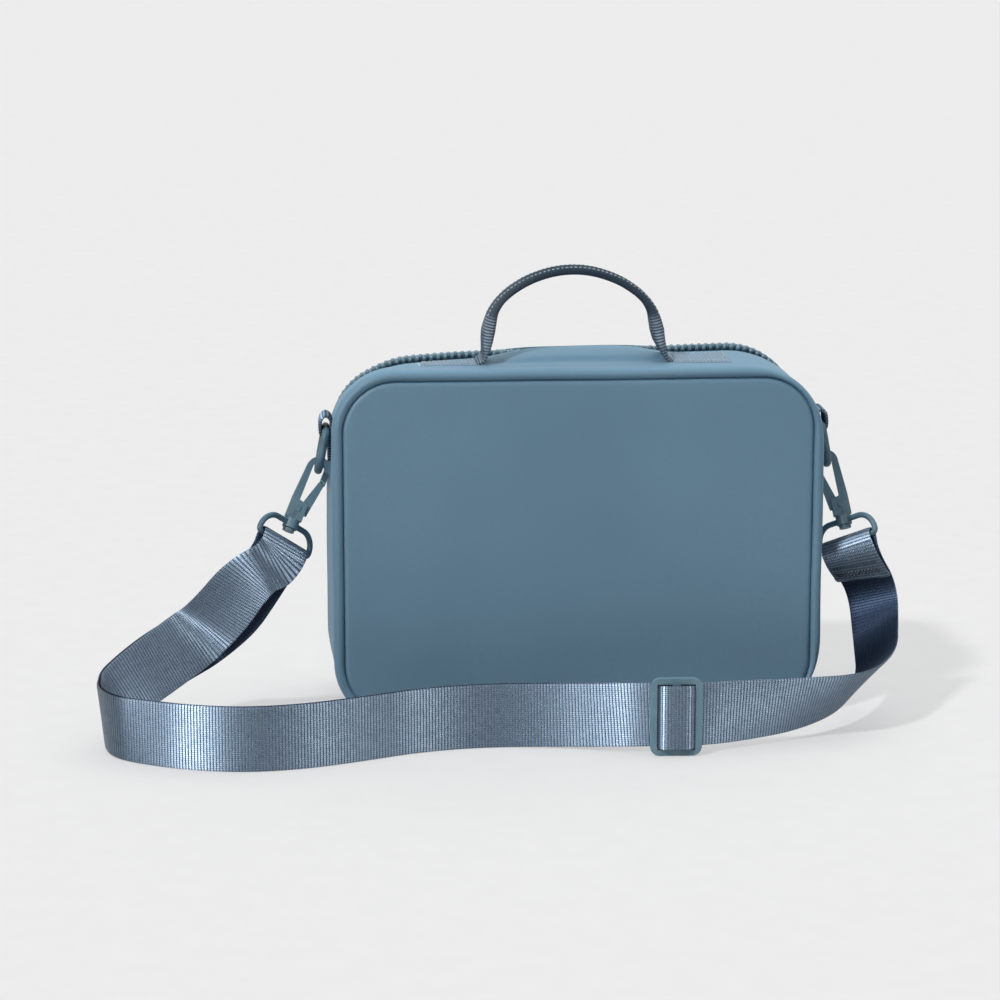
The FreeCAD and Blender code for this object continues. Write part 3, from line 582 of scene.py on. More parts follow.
def lid_strip():
    """The lid's share of the gusset, from the zip to the rolled front edge."""
    columns = walk_columns(LID_WALK, WALK - LID_WALK)
    rows = [gusset_row(columns, y, sink=sink) for y, sink in LID_HEM] + [gusset_row(columns, y) for y in STRIP_YS]
    rows += roll_rows(columns, 1, np.minimum(columns - columns[0], columns[-1] - columns))[::-1]
    points = settle(ripple(np.concatenate(rows), amount=0.3, seed=8.4))
    return make_object("lid_strip", points, grid_faces(len(rows), len(columns)), shell_cloth)


# Padded panels

SEAM_INSET = 4.2
PANEL_INSET = SEAM_INSET - 0.3
PANEL_ROWS, PANEL_COLUMNS, LINING_COLUMNS = 71, 91, 41
FOLD_ROWS = np.arange(36.0, 46.0, 0.7)
# Depth at the seam, then the shoulder beside it, the crown, and how steeply the edge turns in
SEAM_DEPTH = 42.9
SHOULDER, SHOULDER_OVER = 2.3, 0.7
CROWN, CROWN_OVER = 1.0, 70.0
TURN_IN = 1.4
# Small puckers along the seam, and slow swells over the panel
PUCKER, PUCKER_RADIUS, PUCKER_RATE, PUCKER_OVER = 0.06, 24.0, 3.1, 6.0
SWELL, SWELL_SCALE, SWELL_OVER = 0.35, 55.0, 25.0


def panel_inset(x, z, corner):
    """Depth of a point inside the seam line."""
    radius = corner - SEAM_INSET
    qx = abs(x) - (HALF_WIDTH - corner)
    qz = abs(z - HEIGHT / 2) - (HEIGHT / 2 - corner)
    outside = math.hypot(max(qx, 0.0), max(qz, 0.0)) + min(max(qx, qz), 0.0) - radius
    return -outside


def eased(count, power=0.62):
    """Shares from -1 to 1, closer together near the ends."""
    t = np.linspace(-1, 1, count)
    return np.sign(t) * (1 - (1 - np.abs(t)) ** (1 / power))


def panel_grid(inset, low, high, extra=(), columns=PANEL_COLUMNS, corner=CORNER):
    """Points in X and Z that fill the outline drawn in by inset, in rows."""
    radius = corner - inset
    rows = (low + high) / 2 + eased(PANEL_ROWS) * (high - low) / 2
    grid = []
    for z in np.unique(np.concatenate([rows, extra])):
        reach = max(corner - z, z - (HEIGHT - corner), 0.0)
        width = HALF_WIDTH - corner + math.sqrt(max(radius * radius - reach * reach, 0.0))
        grid.append([(x, z) for x in eased(columns) * width])
    return np.array(grid)


def panel_points(grid, y):
    """A grid's points at a depth."""
    x, z = grid.reshape(-1, 2).T
    return np.stack([x, np.full(len(x), y), z], 1)


def padded_panel(name, side, seed, corner, extra=()):
    """A padded panel: a groove at the seam, a soft shoulder and a slight crown."""
    grid = panel_grid(PANEL_INSET, PANEL_INSET, HEIGHT - PANEL_INSET, extra, corner=corner)
    points = panel_points(grid, 0.0)
    inset = np.array([panel_inset(x, z, corner) for x, _, z in points])
    inside = np.maximum(inset, 0.0)
    depth = SEAM_DEPTH + SHOULDER * (1 - np.exp(-inside / SHOULDER_OVER)) + CROWN * smooth(inside / CROWN_OVER)
    depth += np.minimum(inset, 0.0) * TURN_IN
    walk = np.arctan2(points[:, 2] - HEIGHT / 2, points[:, 0]) * PUCKER_RADIUS
    pucker = PUCKER * np.sin(walk * PUCKER_RATE) * np.exp(-inside / PUCKER_OVER)
    swell = SWELL * soft_noise(points, SWELL_SCALE, seed) * smooth(inside / SWELL_OVER)
    points[:, 1] = side * (depth + pucker + swell)
    faces = grid_faces(*grid.shape[:2])
    return make_object(name, settle(points), faces if side < 0 else turned(faces), shell_cloth)


# Lining: depth and offset of each row

LINING_WALL = [(-37.6, -9), (-36.8, -8.3), (-30, -8), (-20, -7.9), (-10, -8), (0, -7.9), (8, -7.9), (9.6, -7.6)]
LINING_FRONT = [(15, -7.9), (22, -8), (30, -7.9), (38, -8.2), (40.4, -9)]
LINING_HEM = [(10.5, -6.8), (10.9, -5.6), (10.8, -4.2)]
LID_LINING = [(35.2, -4.3), (36.2, -4.9), (37, -6.2), (37.3, -7.8)]
LINING_INSET, LID_INSET = 9.0, 7.8
LINING_SCALE = 40.0


def lining_rows(columns, profile):
    return [gusset_row(columns, y, offset) for y, offset in profile]


def add_lining_panel(points, faces, y, inset, low, high, swell, seed, flip=False):
    """A slack panel of lining, added to the points and faces of its walls."""
    grid = panel_grid(inset, low, high, columns=LINING_COLUMNS)
    sheet = panel_points(grid, y)
    sheet[:, 1] += swell * soft_noise(sheet, LINING_SCALE, seed)
    more = grid_faces(*grid.shape[:2], first=len(points))
    faces += turned(more) if flip else more
    points += list(sheet)


def bag_lining():
    """Lining of the bag: back, walls out to the zip, base and low front."""
    base, columns, zip_columns = band_columns(LINING_STEP)
    points, faces = band_mesh(lining_rows(columns, LINING_WALL), lining_rows(base, LINING_FRONT),
                              lining_rows(zip_columns, LINING_HEM))
    faces = turned(faces)
    for y, high, flip in ((LINING_WALL[0][0], HEIGHT - LINING_INSET, True), (LINING_FRONT[-1][0], FOLD_Z, False)):
        add_lining_panel(points, faces, y, LINING_INSET, LINING_INSET, high, swell=0.5, seed=2.2, flip=flip)
    return make_object("bag_lining", settle(points), faces, liner_cloth)


def lid_lining():
    """Lining of the lid, turned out to the zip tape at its edge."""
    columns = walk_columns(LID_WALK, WALK - LID_WALK, LINING_STEP)
    rows = lining_rows(columns, LID_LINING)
    points = list(np.concatenate(rows))
    faces = turned(grid_faces(len(rows), len(columns)))
    add_lining_panel(points, faces, LID_LINING[-1][0], LID_INSET, FOLD_Z + FOLD_GAP + 0.5, HEIGHT - LID_INSET,
                     swell=0.4, seed=9.2)
    return make_object("lid_lining", settle(points), faces, liner_cloth)


attach(bag_gusset(), "bag", ("upper_gusset", "base_gusset", "gusset_foam"))
attach(padded_panel("back_cover", -1, 5.7, BACK_CORNER), "bag", ("back_panel", "back_foam"))
attach(lid_strip(), "lid", ("lid_gusset",))
attach(padded_panel("front_cover", 1, 12.3, CORNER, FOLD_ROWS),
       ("bag", "lid", (0, 0.045, 0.0375), (0, 0.045, 0.0430)),
       ("front_lower_panel", "lid_panel", "lid_foam"))
attach(bag_lining(), "bag", ("bag_liner",))
attach(lid_lining(), "lid", ("lid_liner",))


# Zip

TAPE_OUTER, TAPE_INNER, TAPE_ROWS = -3.4, -4.2, 7


def zip_tape(body, y0, y1, start):
    columns = walk_columns(start, WALK - start)
    rows = [gusset_row(columns, y, TAPE_OUTER) for y in np.linspace(y0, y1, TAPE_ROWS)]
    rows += [gusset_row(columns, y, TAPE_INNER) for y in np.linspace(y1, y0, TAPE_ROWS)]
    rows.append(rows[0])
    faces = grid_faces(len(rows), len(columns))
    obj = make_object("tape_" + body, settle(np.concatenate(rows)), faces, zip_cloth)
    attach(obj, body, ("zip_tape_" + body,))


TEETH_LOW = 47.4
TOOTH_PITCH = 3.7
TOOTH_HALF = 0.95
# A tooth's sections, from its foot to its head: reach to the other row, half width and lowest point
TOOTH = [(-3.2, 0.75, -3.1), (-2.9, TOOTH_HALF, -2.9), (-1.6, TOOTH_HALF, -2.7), (-0.9, 0.62, -2.5),
         (-0.45, 0.85, -2.6), (0.25, TOOTH_HALF, -2.7), (0.6, 0.7, -2.5)]
NECK_HALF, TOOTH_CROWN, NECK_CROWN, CROWN_DROP, CROWN_FLAT = 0.7, 0.5, 0.1, 0.35, 0.6


def zip_teeth(body, first, side):
    """Moulded teeth: a foot on the tape, a neck and a rounded head that meets the other row."""
    start = walk_at_height(CORNER) + TEETH_LOW - CORNER
    points, faces = [], []
    s = WALK - start - first
    while s > start + TOOTH_HALF:
        (x, z), (nx, nz) = outline_at(s)
        tx, tz = -nz, nx
        base = len(points)
        for reach, half, low in TOOTH:
            crown = TOOTH_CROWN if half > NECK_HALF else NECK_CROWN
            flat, shoulder = half * CROWN_FLAT, crown - CROWN_DROP
            section = ((-half, low), (-half, shoulder), (-flat, crown), (flat, crown), (half, shoulder), (half, low))
            for along, out in section:
                points.append((x + tx * along + nx * out, ZIP_Y + side * reach, z + tz * along + nz * out))
        tooth = tube_faces(len(TOOTH), len(section), base)
        faces += tooth if side > 0 else turned(tooth)
        s -= TOOTH_PITCH
    obj = make_object("teeth_" + body, settle(points), faces, zip_plastic)
    attach(obj, body, ("zip_teeth_" + body,))


zip_tape("bag", 10.4, 21.6, FOLD_WALK)
zip_tape("lid", 24.4, 35.6, LID_WALK)
zip_teeth("bag", TOOTH_HALF, 1)
zip_teeth("lid", TOOTH_HALF + TOOTH_PITCH / 2, -1)


# Webbing

# Half of a band's section: shares of its half width, and of its half thickness there
BAND_ACROSS = np.array([-1.0, -0.985, -0.95, -0.88, -0.6, -0.3, 0.0, 0.3, 0.6, 0.88, 0.95, 0.985, 1.0])
BAND_HEIGHT = np.array([0.0, 0.55, 0.85, 1.0, 1.0, 1.0, 1.0, 1.0, 1.0, 1.0, 0.85, 0.55, 0.0])
BAND = list(zip(BAND_ACROSS, BAND_HEIGHT)) + list(zip(BAND_ACROSS[-2:0:-1], -BAND_HEIGHT[-2:0:-1]))


def webbing_object(name, centres, edges, normals, material, width, thickness, start=0.0):
    """Rounded flat band through stations. Its weave layer starts at a length along the webbing."""
    widths = np.broadcast_to(width, len(centres))
    thick = np.broadcast_to(thickness, len(centres))
    walked = lengths_of(centres) + start
    points, weave, grain = [], [], []
    for c, e, n, w, t, s in zip(centres, edges, normals, widths, thick, walked):
        for a, h in BAND:
            points.append(c + e * (a * w / 2) + n * (h * t / 2))
            weave.append((s, a * w / 2, h))
            grain.append(e)
    count = len(BAND)
    faces = grid_faces(len(centres), count, close_cols=True)
    for at, flip in ((0, -1), ((len(centres) - 1) * count, 1)):
        faces.append(ring_face(len(points), count)[::flip])
        for layer in (points, weave, grain):
            layer += layer[at:at + count]
    return make_object(name, np.array(points), faces, material, weave=weave, grain=grain)


def frames_along(places, edges):
    """Squared edge and outward side at each station."""
    along = unit(np.gradient(places, axis=0))
    edge = unit(edges - along * (edges * along).sum(1)[:, None])
    return edge, np.cross(along, edge)


def flat_frames(centres, edge):
    """Stations with the same edge all along, and their outward side."""
    edges = np.tile(edge, (len(centres), 1))
    return centres, edges, np.cross(unit(np.gradient(centres, axis=0)), edges)


# Shoulder strap: the part's route points, with the way the upper edge points at each

STRAP_WIDTH = 33.0
STRAP_THICK = 1.5
LAYER_OFFSET = 0.9
FOLD_OFFSET = 2.55
MERGE = 38.0
RIGHT_MERGE = 20.0
# Each strap ring's bar: its middle, and the directions up, along and through it
RINGS = {"left": np.array([(-151.674, -27.821, 92.941), (0.3744, 0.3907, 0.8409), (0.6572, 0.5280, -0.5379),
                           (-0.6542, 0.7540, -0.0591)]),
         "right": np.array([(142.585, -28.510, 89.760), (-0.1586, 0.4067, 0.8997), (-0.6464, 0.6460, -0.4060),
                            (-0.7463, -0.6460, 0.1604)])}

ROUTE = [
    ((-168, -41.5, 78.5), (-0.63, -0.36, 0.69)),
    ((-186.1, -52.6, 60.4), (-0.40, -0.47, 0.78)),
    ((-209.2, -49.8, 42.4), (-0.42, -0.45, 0.79)),
    ((-229.6, -57.7, 28.1), (-0.33, -0.06, 0.94)),
    ((-240.7, -65.7, 20), (-0.14, -0.06, 0.99)),
    ((-243.7, -79.7, 17.5), (-0.10, -0.07, 0.99)),
    ((-236.7, -97.1, 16.9), (-0.01, -0.10, 0.99)),
    ((-222, -106, 16.6), UP),
    ((-200, -117, 16.6), UP),
    ((-172, -123.5, 16.6), UP),
    ((-142, -119.5, 16.6), UP),
    ((-113, -108, 16.6), UP),
    ((-86, -95.5, 16.6), UP),
    ((-55, -89, 16.6), UP),
    ((-24, -90, 16.8), UP),
    ((6, -97, 18), UP),
    ((30, -104.5, 20.2), UP),
    ((56, -105.5, 20.2), UP),
    ((78.5, -99.9, 20.1), (0, -0.13, 0.99)),
    ((107.9, -91.7, 20.4), (0.01, -0.37, 0.93)),
    ((138.7, -77.5, 22.6), (0.19, -0.66, 0.72)),
    ((153.9, -55, 30.7), (0.34, -0.84, 0.42)),
    ((156.2, -36.7, 42.3), (0.56, -0.78, 0.28)),
    ((156, -25.8, 64), (0.67, -0.70, 0.26)),
]
RING_LEADS = (3.0, 10.0)
RUN_START, RETURN_END, RUN_END, SPANS = 6, 17, 22, 26


def ring_leads(side, distances):
    bar, up, along, _ = RINGS[side]
    return [(bar - up * d, -along) for d in distances]


control = ring_leads("left", RING_LEADS) + ROUTE + ring_leads("right", RING_LEADS[::-1])
line = read_spline([p for p, e in control])
line_edges, line_out = frames_along(line, read_spline([e for p, e in control]))
line_length = lengths_of(line)

# The soft layers under the left ring turn their face to the front sooner than the part's plain solids
LEFT_EDGES = [(-0.70, -0.40, 0.58), (-0.77, -0.20, 0.61), (-0.64, -0.10, 0.76), (-0.37, 0, 0.93)]
riser_edges = [e for p, e in control]
riser_edges[len(RING_LEADS):len(RING_LEADS) + len(LEFT_EDGES)] = LEFT_EDGES
riser_edges = read_spline(riser_edges)


def span_index(span):
    return int(round(span / SPANS * (len(line) - 1)))


# Where the two layers under the left ring part: length from the ring, shift up the picture's left, shift away
APART = np.array((-0.71, 0.0, 0.71))
AWAY = np.array((0.0, 0.955, -0.297))
FRONT_DRIFT = [(0, 0, 0), (6, 0, 0), (12, 0.5, 0.6), (20, 1.4, 4.6), (30, 2, 10.4), (42, 1.6, 17), (54, 1, 22),
               (60, 0.7, 22.8), (66, 0.4, 21), (80, 0, 12), (95, 0, 3.6), (108, 0, 0.6), (120, 0, 0), (130, 0, 0)]
BACK_DRIFT = [(0, 0, 0), (6, -0.2, 0.4), (12, -1.2, 2.6), (20, -2.8, 8.6), (30, -4, 15.4), (42, -4.6, 22),
              (54, -3.8, 26.5), (60, -3.2, 27), (66, -2.4, 24.6), (80, -0.8, 14.5), (95, 0, 4.6), (108, 0, 0.8),
              (120, 0, 0), (130, 0, 0)]


def layer_path(side, from_right=False, drift=None):
    """Centres, edges and outward sides along the whole route, on its outer (1) or inner (-1) side."""
    reach = np.full(len(line), MERGE)
    if drift is not None:
        reach = line_length
    if from_right:
        reach = (line_length[-1] - line_length) * (MERGE / RIGHT_MERGE)
    offset = LAYER_OFFSET + (FOLD_OFFSET - LAYER_OFFSET) * np.maximum(0.0, 1 - reach / MERGE) ** 2
    centres = line + line_out * (side * offset)[:, None]
    if drift is None:
        return centres, line_edges, line_out * side
    table = read_spline(drift)
    for column, direction in ((1, APART), (2, AWAY)):
        centres = centres + np.outer(np.interp(reach, table[:, 0], table[:, column]), direction)
    edges, out = frames_along(centres, riser_edges)
    return centres, edges, out * side


def strap_piece(name, motion, node, centres, edges, sides, start=0.0, width=STRAP_WIDTH, thickness=STRAP_THICK):
    """A stretch of the strap's webbing."""
    piece = webbing_object(name, centres, edges, sides, strap_weave, width, thickness, start)
    attach(piece, motion, (node,))


def layer(name, motion, node, path, first, last, **size):
    """A stretch along a layer's path."""
    strap_piece(name, motion, node, *(part[first:last + 1] for part in path), line_length[first], **size)


run_first, run_last = span_index(RUN_START), span_index(RUN_END)
layer("strap_floor_run", "bag", "strap_run", layer_path(1), run_first, run_last)
layer("strap_second_run", "bag", "strap_return", layer_path(-1), run_first, span_index(RETURN_END))

# Keeps a blend's direction steady where both cut ends of a stretch point the same way
STEADY = 0.03


def blend_ends(path, first, last):
    """Where a stretch's blend starts and ends: between its two cut ends, each of which keeps to one body."""
    centres, edges, _ = path
    way = centres[last] - centres[first]
    crossing = sum(np.outer(edges[at], edges[at]) for at in (first, last))
    aim = unit(np.linalg.solve(crossing + STEADY * np.eye(3), way))
    margins = [abs(edges[at] @ aim) * STRAP_WIDTH / 2 + STRAP_THICK / 2 for at in (first, last)]
    start = centres[first] + aim * margins[0]
    return tuple(start * MM), tuple((start + aim * (way @ aim - sum(margins))) * MM)


def riser(name, cuts, path, side, node):
    """A stretch between the floor and a strap ring, cut where each joint on the way takes over.
    Returns the bodies and blend ends given for its last piece."""
    marks = [span_index(c) for c in cuts]
    bodies = ["bag"] + [stem + "_" + side for stem in ("ring", "hook", "strap_ring")]
    for index, letter in enumerate("abc"):
        first, last = marks[index:index + 2]
        motion = (*bodies[index:index + 2], *blend_ends(path, first, last))
        layer(name + "_" + letter, motion, node, path, min(first, last), max(first, last))
    return motion


LEFT_CUTS = (RUN_START, 2.6, 1.2, 0)
RIGHT_CUTS = (RUN_END, 24.0, 25.2, SPANS)
riser("strap_left_back", LEFT_CUTS, layer_path(1, drift=BACK_DRIFT), "left", "strap_riser_left")
riser("strap_left_front", LEFT_CUTS, layer_path(-1, drift=FRONT_DRIFT), "left", "strap_return_riser")
right_motion = riser("strap_right", RIGHT_CUTS, layer_path(1, from_right=True), "right", "strap_riser_right")

FOLD_TAIL = 3.8
FOLD_STATIONS = 15


def ring_fold(side):
    """The webbing's turn over the strap ring's bar."""
    bar, up, along, through = RINGS[side]
    normals = [math.cos(t) * through + math.sin(t) * up for t in np.linspace(0, math.pi, FOLD_STATIONS)]
    arc = [bar + FOLD_OFFSET * normal for normal in normals]
    centres = np.array([arc[0] - up * FOLD_TAIL] + arc + [arc[-1] - up * FOLD_TAIL])
    sides = np.array([through] + normals + [-through])
    edges = np.tile(-along, (len(centres), 1))
    strap_piece("strap_fold_over_" + side, "strap_ring_" + side, "strap_fold_" + side, centres, edges, sides)


ring_fold("left")
ring_fold("right")

# The strap's sewn end: how much wider it is than the strap, and the turned-in end's thickness and half length
FLAP_LENGTH = 20.0
FLAP_WIDER = 0.8
HEM_THICKER, HEM_HALF = 1.9, 1.3
flap_first = int(np.searchsorted(line_length, line_length[-1] - FLAP_LENGTH))
flap_path = layer_path(-1, from_right=True)
flap_walk = line_length[flap_first:] - line_length[flap_first]
flap_thick = STRAP_THICK + HEM_THICKER * np.exp(-((flap_walk - HEM_HALF) / HEM_HALF) ** 4)
layer("strap_sewn_end", right_motion, "strap_end_flap", flap_path, flap_first, len(line) - 1,
      width=STRAP_WIDTH + FLAP_WIDER, thickness=flap_thick)

# Webbing over the slider's middle bar, in the slider's own frame
GLIDE_AT = np.array((42.806, -110.046, 20.2))
GLIDE_ALONG = np.array((0.999261, -0.038433, 0.0))
GLIDE_IN = np.array((0.038433, 0.999261, 0.0))
WRAP = [(-12.7, 2.35), (-10.8, 2.3), (-9.4, 0.9), (-8.4, -1.7), (-5.6, -3), (-2, -3.3), (2.4, -3.2), (6.4, -2.8),
        (9.2, -1.2), (9.9, 1.2), (11, 2.3), (12.7, 2.35)]
wrap_line = read_spline([GLIDE_AT + GLIDE_ALONG * x + GLIDE_IN * y for x, y in WRAP])
strap_piece("strap_over_bar", "strap_glide", "strap_glide_wrap", *flat_frames(wrap_line, UP))


# Stitches, whose sizes are pitch, half length, half width and height

GRIP_STITCH = (2.3, 0.7, 0.42, 0.4)
TAB_STITCH = (2.6, 0.9, 0.32, 0.28)
ROW_STITCH = (2.1, 0.9, 0.42, 0.35)
BAR_STITCH = (1.6, 0.9, 0.65, 0.6)
# A stitch's sections: share of its half length, and how fat it is there
STITCH = [(-1, 0.35), (-0.65, 0.85), (0, 1), (0.65, 0.85), (1, 0.35)]
STITCH_TURNS = np.linspace(0, 2 * math.pi, 7)[:-1]
LOOK_AHEAD, TOO_SHORT = 0.3, 0.01


def stitches(name, rows, thread, motion):
    """Small raised stitches, evenly spaced along rows of points, each with its outward directions and size."""
    points, faces = [], []
    for places, sides, (pitch, half, wide, high) in rows:
        walked = lengths_of(places)
        sides = np.broadcast_to(sides, places.shape)

        def at_length(t, values):
            return np.array([np.interp(t, walked, values[:, k]) for k in range(3)])

        count = max(2, int(walked[-1] / pitch))
        for t in (np.arange(count) + 0.5) / count * walked[-1]:
            centre = at_length(t, places)
            ahead = at_length(t + LOOK_AHEAD, places) - centre
            if np.linalg.norm(ahead) < TOO_SHORT:
                ahead = places[-1] - places[-2]
            ahead = unit(ahead)
            up = unit(at_length(t, sides))
            across = np.cross(ahead, up)
            faces += tube_faces(len(STITCH), len(STITCH_TURNS), len(points))
            for share, fat in STITCH:
                for a in STITCH_TURNS:
                    points.append(centre + ahead * half * share
                                  + (across * wide * math.cos(a) + up * high * math.sin(a)) * fat)
    attach(make_object(name, points, faces, thread), motion)


# Top handle: webbing folded to a tube, with its two ends sewn flat on the bag

HANDLE_HALF = [(50.8, 184.2), (48.6, 184.8), (46.9, 186.9), (46, 190.5), (45.2, 195.5), (44.6, 200),
               (43.4, 205.2), (42, 210.2), (38.4, 215.8), (32.6, 221), (23.7, 226.4), (12, 230.4)]
HANDLE_TOP = (-0.4, 231.6)
# The right leg leans in by this much, above a height and over a length
HANDLE_LEAN, HANDLE_STEP = 1.6, (186.0, 12.0)
# Width and thickness by height
HANDLE_WIDTH = ((185, 192, 199, 205, 211, 216), (24, 22.5, 18, 15, 12.8, 12.5))
HANDLE_THICK = ((185, 188, 195, 200, 205, 211, 216), (1.6, 2.6, 6, 7.2, 6.6, 5.2, 4.6))
# Where the flat section turns to a round one, and where the legs' painted rib highlights give way to the grip's
# painted shade
TUBE_STEP, GRIP_SHADE_STEP = (187.0, 12.0), (203.0, 9.0)
FLAT_POWER, TUBE_POWER = 0.28, 0.42
HANDLE_TURNS = np.linspace(0, 2 * math.pi, 33)[:-1]
HANDLE_ROUND, GRAIN_TURN = 12.0, 0.9
# The grip's two seams: the height that they start at, their shares of its thickness and width, and their lean
SEAMS_FROM, SEAM_DOWN, SEAM_ASIDE, SEAM_LEAN = 207.0, 0.40, 0.38, (0.6, 0.8)
HANDLE_MOTION = ("bag", "handle", (0, HANDLE_Y * MM, 0.1865), (0, HANDLE_Y * MM, 0.1990))


def handle():
    """The grip, its section and its two rows of stitches."""
    knots = [(-x, HANDLE_Y, z) for x, z in HANDLE_HALF] + [(HANDLE_TOP[0], HANDLE_Y, HANDLE_TOP[1])]
    knots += [(x - HANDLE_LEAN * rising(z, *HANDLE_STEP), HANDLE_Y, z) for x, z in HANDLE_HALF[::-1]]
    centres, edges, sides = flat_frames(read_spline(knots), DEEP)
    normals = -sides
    rise = centres[:, 2]
    width = np.interp(rise, *HANDLE_WIDTH)
    thick = np.interp(rise, *HANDLE_THICK)
    powers = FLAT_POWER + TUBE_POWER * rising(rise, *TUBE_STEP)
    # 1 on the legs and -1 on the grip, whose colour is painted darker, as painted shade
    ribs = 1 - 2 * rising(rise, *GRIP_SHADE_STEP)
    points, weave, grain = [], [], []
    for c, n, e, w, t, power, rib, s in zip(centres, normals, edges, width, thick, powers, ribs, lengths_of(centres)):
        for a in HANDLE_TURNS:
            ca, sa = math.cos(a), math.sin(a)
            across = math.copysign(abs(ca) ** power, ca) * w / 2
            out = math.copysign(abs(sa) ** power, sa) * t / 2
            points.append(c + e * across + n * out)
            weave.append((s, a * HANDLE_ROUND, rib))
            grain.append(n * ca * GRAIN_TURN - e * sa)
    faces = tube_faces(len(centres), len(HANDLE_TURNS))
    obj = make_object("top_handle", np.array(points), faces, handle_weave, weave=weave, grain=unit(grain))
    attach(obj, HANDLE_MOTION, ("handle_grip",))
    grip = rise > SEAMS_FROM
    rows = []
    for front in (-1, 1):
        places = centres - normals * (thick * SEAM_DOWN)[:, None] + edges * (front * width * SEAM_ASIDE)[:, None]
        out = edges * front * SEAM_LEAN[0] - normals * SEAM_LEAN[1]
        rows.append((places[grip], out[grip], GRIP_STITCH))
    stitches("handle_stitches", rows, light_thread, HANDLE_MOTION)


# The handle's sewn end: distances from the middle with the lift there, and shares across with the share of the lift
TAB_WIDTH = 25.0
TAB_ALONG = [(46.5, 0), (48, 0.3), (51, 0.6), (55, 0.7), (60, 0.7), (65, 0.7), (70, 0.7), (75, 0.7), (78, 0.7),
             (80, 0.6), (80.6, 0.3), (80.8, -0.4)]
TAB_ACROSS = [(-1, -0.6), (-0.98, 0.5), (-0.94, 0.9), (-0.8, 1), (-0.5, 1), (0, 1), (0.5, 1), (0.8, 1),
              (0.94, 0.9), (0.98, 0.5), (1, -0.6)]
TAB_BOX = [(52, -10), (52, 10), (78.5, 10), (78.5, -10), (52, -10)]
TAB_STITCH_LIFT = 0.8
BOX_POINTS = 9


def handle_tab(side, name):
    """The handle's end, sewn flat on the padded top."""
    def place(x, y, above):
        return (side * x, y, HEIGHT + bulge(side * x, HEIGHT, 0.0, 1.0, y) + above)

    points = [place(x, HANDLE_Y + a * TAB_WIDTH / 2, up * r) for x, up in TAB_ALONG for a, r in TAB_ACROSS]
    weave = [(x, a * TAB_WIDTH / 2, 1.0) for x, _ in TAB_ALONG for a, _ in TAB_ACROSS]
    faces = grid_faces(len(TAB_ALONG), len(TAB_ACROSS))
    tab = make_object("handle_end_" + name, settle(points), turned(faces) if side < 0 else faces, tab_weave_painted_sheen,
                      weave=weave, grain=[DEEP] * len(points))
    attach(tab, "bag", ("handle_tab_" + name,))
    rows = []
    for (x0, y0), (x1, y1) in zip(TAB_BOX, TAB_BOX[1:]):
        corners = zip(np.linspace(x0, x1, BOX_POINTS), np.linspace(y0, y1, BOX_POINTS))
        seam = [place(x, HANDLE_Y + y, TAB_STITCH_LIFT) for x, y in corners]
        rows.append((settle(seam), UP, TAB_STITCH))
    stitches("handle_end_stitches_" + name, rows, light_thread, "bag")


handle()
handle_tab(-1, "left")
handle_tab(1, "right")

# Stitches that hold the strap's right end: a dashed row and a close bar of slanted thread
ROW_AT, ROW_SHARES = 8.6, np.linspace(-0.42, 0.42, 9)
BAR_AT, BAR_SHARES = 4.9, np.linspace(-0.40, 0.40, 14)
BAR_LENGTH, BAR_SLANT = 2.6, 0.7
STITCH_LIFT = 0.1


def across_flap(distance, shares):
    """Places across the flap's face at a distance from its end, with its edge and outward directions."""
    at = int(np.searchsorted(line_length, line_length[flap_first] + distance))
    centre, edge, out = (part[at] for part in flap_path)
    lifted = centre + out * (STRAP_THICK / 2 + STITCH_LIFT)
    return np.array([lifted + edge * (share * STRAP_WIDTH) for share in shares]), edge, out


places, _, out = across_flap(ROW_AT, ROW_SHARES)
end_rows = [(places, out, ROW_STITCH)]
places, edge, out = across_flap(BAR_AT, BAR_SHARES)
lean = np.cross(edge, out) * BAR_LENGTH / 2 + edge * BAR_SLANT
end_rows += [(np.array([here - lean, here + lean]), out, BAR_STITCH) for here in places]
stitches("strap_end_stitches", end_rows, dark_thread, right_motion)


# Side loops

LOOP_WIDTH = 16.0
LOOP_THICK = 1.6
LOOP_PATH = [(125.9, 133.6), (125.9, 140), (125.9, 146), (126, 149), (125.8, 153), (126.4, 156.2),
             (128.8, 158), (131.2, 156.2), (131.8, 152.5), (131.8, 149), (130.9, 147), (128.8, 146.2),
             (127.4, 146.6), (127.2, 144), (127.3, 139), (127.3, 134)]


def side_loop(side, name):
    """A turn of webbing round the ring's bar, with its ends sewn flat to the gusset."""
    frames = flat_frames(read_spline([(side * x, HANDLE_Y, z) for x, z in LOOP_PATH]), DEEP)
    obj = webbing_object("side_loop_webbing_" + name, *frames, loop_weave, LOOP_WIDTH, LOOP_THICK)
    attach(obj, "bag", ("side_loop_" + name,))


side_loop(-1, "left")
side_loop(1, "right")


# Hardware that keeps its CAD shape, with the width of its softened edges

PAIRED = {"side_ring": (coated_metal, 0.2), "hook": (coated_metal, 0.45), "gate": (coated_metal, 0.25),
          "gate_rivet": (coated_metal, 0.2), "gate_spring": (spring_steel, 0.08), "swivel_post": (coated_metal, 0.3),
          "strap_ring": (coated_metal, 0.3)}
SINGLE = {"strap_glide": (glide_coat, 0.7), "zip_slider": (coated_metal, 0.35), "zip_pull": (coated_metal, 0.4),
          "zip_end_stops": (zip_plastic, 0.4)}


def dress(node, material, width):
    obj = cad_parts[node]
    obj.data.materials.clear()
    obj.data.materials.append(material)
    for polygon in obj.data.polygons:
        polygon.material_index = 0
    edge = obj.modifiers.new("soft_edges", "BEVEL")
    edge.width = width * MM
    edge.segments = 3
    edge.limit_method = "ANGLE"
    edge.angle_limit = math.radians(40)
    edge.harden_normals = True


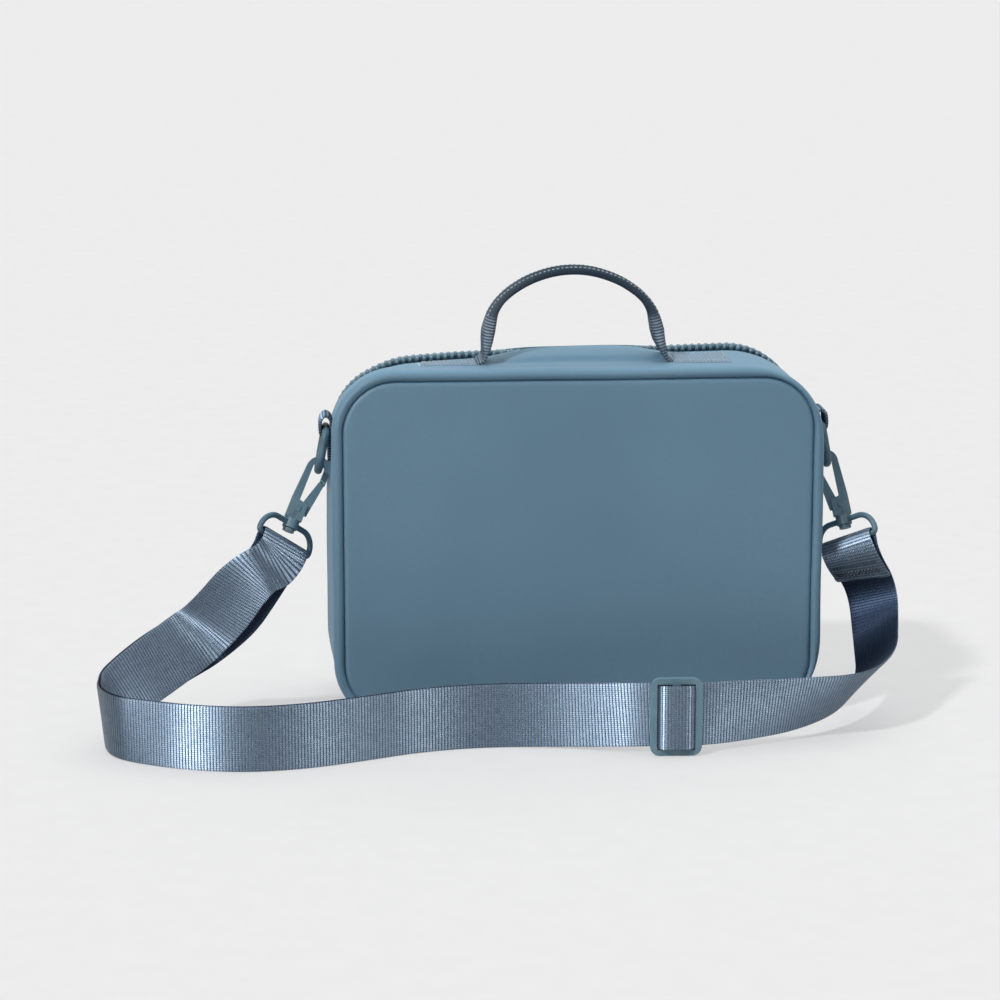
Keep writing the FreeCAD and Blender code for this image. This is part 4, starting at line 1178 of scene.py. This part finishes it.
for stem, finish in PAIRED.items():
    dress(stem + "_left", *finish)
    dress(stem + "_right", *finish)
for node, finish in SINGLE.items():
    dress(node, *finish)


# Stage, light and camera

PALE = (236, 236, 236)
PAPER_DARK, PAPER_LIGHT = (235, 235, 235), (237, 237, 237)
FLOOR_HALF = 30.0
FLOOR_BOUNCE = (176, 176, 176)
SHADOW_SOFTENING = 0.54
SKY = 0.22
# Each lamp's strength, width in degrees and the way to it. Those named gloss add highlights alone
LAMPS = {"key": (0.45, 5, (-0.50, -0.44, 0.745)), "overhead": (0.49, 70, (0.22, 0.30, 0.93)),
         "gloss": (1.5, 16, (-0.577, -0.72, 0.32)), "gloss_right": (0.48, 20, (0.585, -0.77, 0.235))}
SENSOR, LENS = 36.0, 111.95
EYE_AT = (-0.14902, -1.59348, 0.455)
EYE_TURN = (77.75, 0.0, -4.0)


def floor():
    """Pale paper. The camera sees it mostly at its own colour, with the object's shadow softened."""
    corners = [(-1, -1), (1, -1), (1, 1), (-1, 1)]
    mesh = bpy.data.meshes.new("floor")
    mesh.from_pydata([(x * FLOOR_HALF, y * FLOOR_HALF, 0) for x, y in corners], [], [(0, 1, 2, 3)])
    n = Surface("floor_paper", Roughness=0.9, Specular_IOR_Level=0.0)
    seen = n.seen()
    fibre = n.noise(n.geometry("Position"), scale=60.0, detail=2.0)
    paper = n.ramp(fibre, [(0.3, PAPER_DARK), (0.7, PAPER_LIGHT)])
    mesh.materials.append(n.finish(n.mix(seen, FLOOR_BOUNCE, paper)))
    glow = n.add("Emission", 0, {"Color": paper})
    softened = n.mix_shader(n.math("MULTIPLY", seen, SHADOW_SOFTENING), n.shader.outputs[0], glow)
    n.link(softened, n.tree.nodes["Material Output"].inputs["Surface"])
    add_object("floor", mesh)


def studio():
    """Soft light from all round, with the pale backdrop shown to the camera."""
    world = bpy.data.worlds.new("studio")
    scene.world = world
    world.use_nodes = True
    n = Nodes(world.node_tree)
    sky = n.tree.nodes["Background"]
    sky.inputs["Color"].default_value = (1.0, 1.0, 1.0, 1.0)
    sky.inputs["Strength"].default_value = SKY
    pale = n.add("Background", 0, {"Color": PALE, "Strength": 1.0})
    n.link(n.mix_shader(n.seen(), sky.outputs[0], pale), n.tree.nodes["World Output"].inputs["Surface"])
    for name, (share, spread, towards) in LAMPS.items():
        lamp = bpy.data.lights.new(name, "SUN")
        lamp.energy = share * math.pi
        lamp.angle = math.radians(spread)
        holder = add_object(name, lamp)
        holder.rotation_euler = Vector(towards).to_track_quat("Z", "Y").to_euler()
        holder.visible_diffuse = not name.startswith("gloss")


floor()
studio()
camera = bpy.data.cameras.new("camera")
camera.sensor_width = SENSOR
camera.lens = LENS
eye = add_object("camera", camera)
eye.location = EYE_AT
eye.rotation_euler = [math.radians(v) for v in EYE_TURN]
scene.camera = eye
scene.view_settings.view_transform = "Standard"
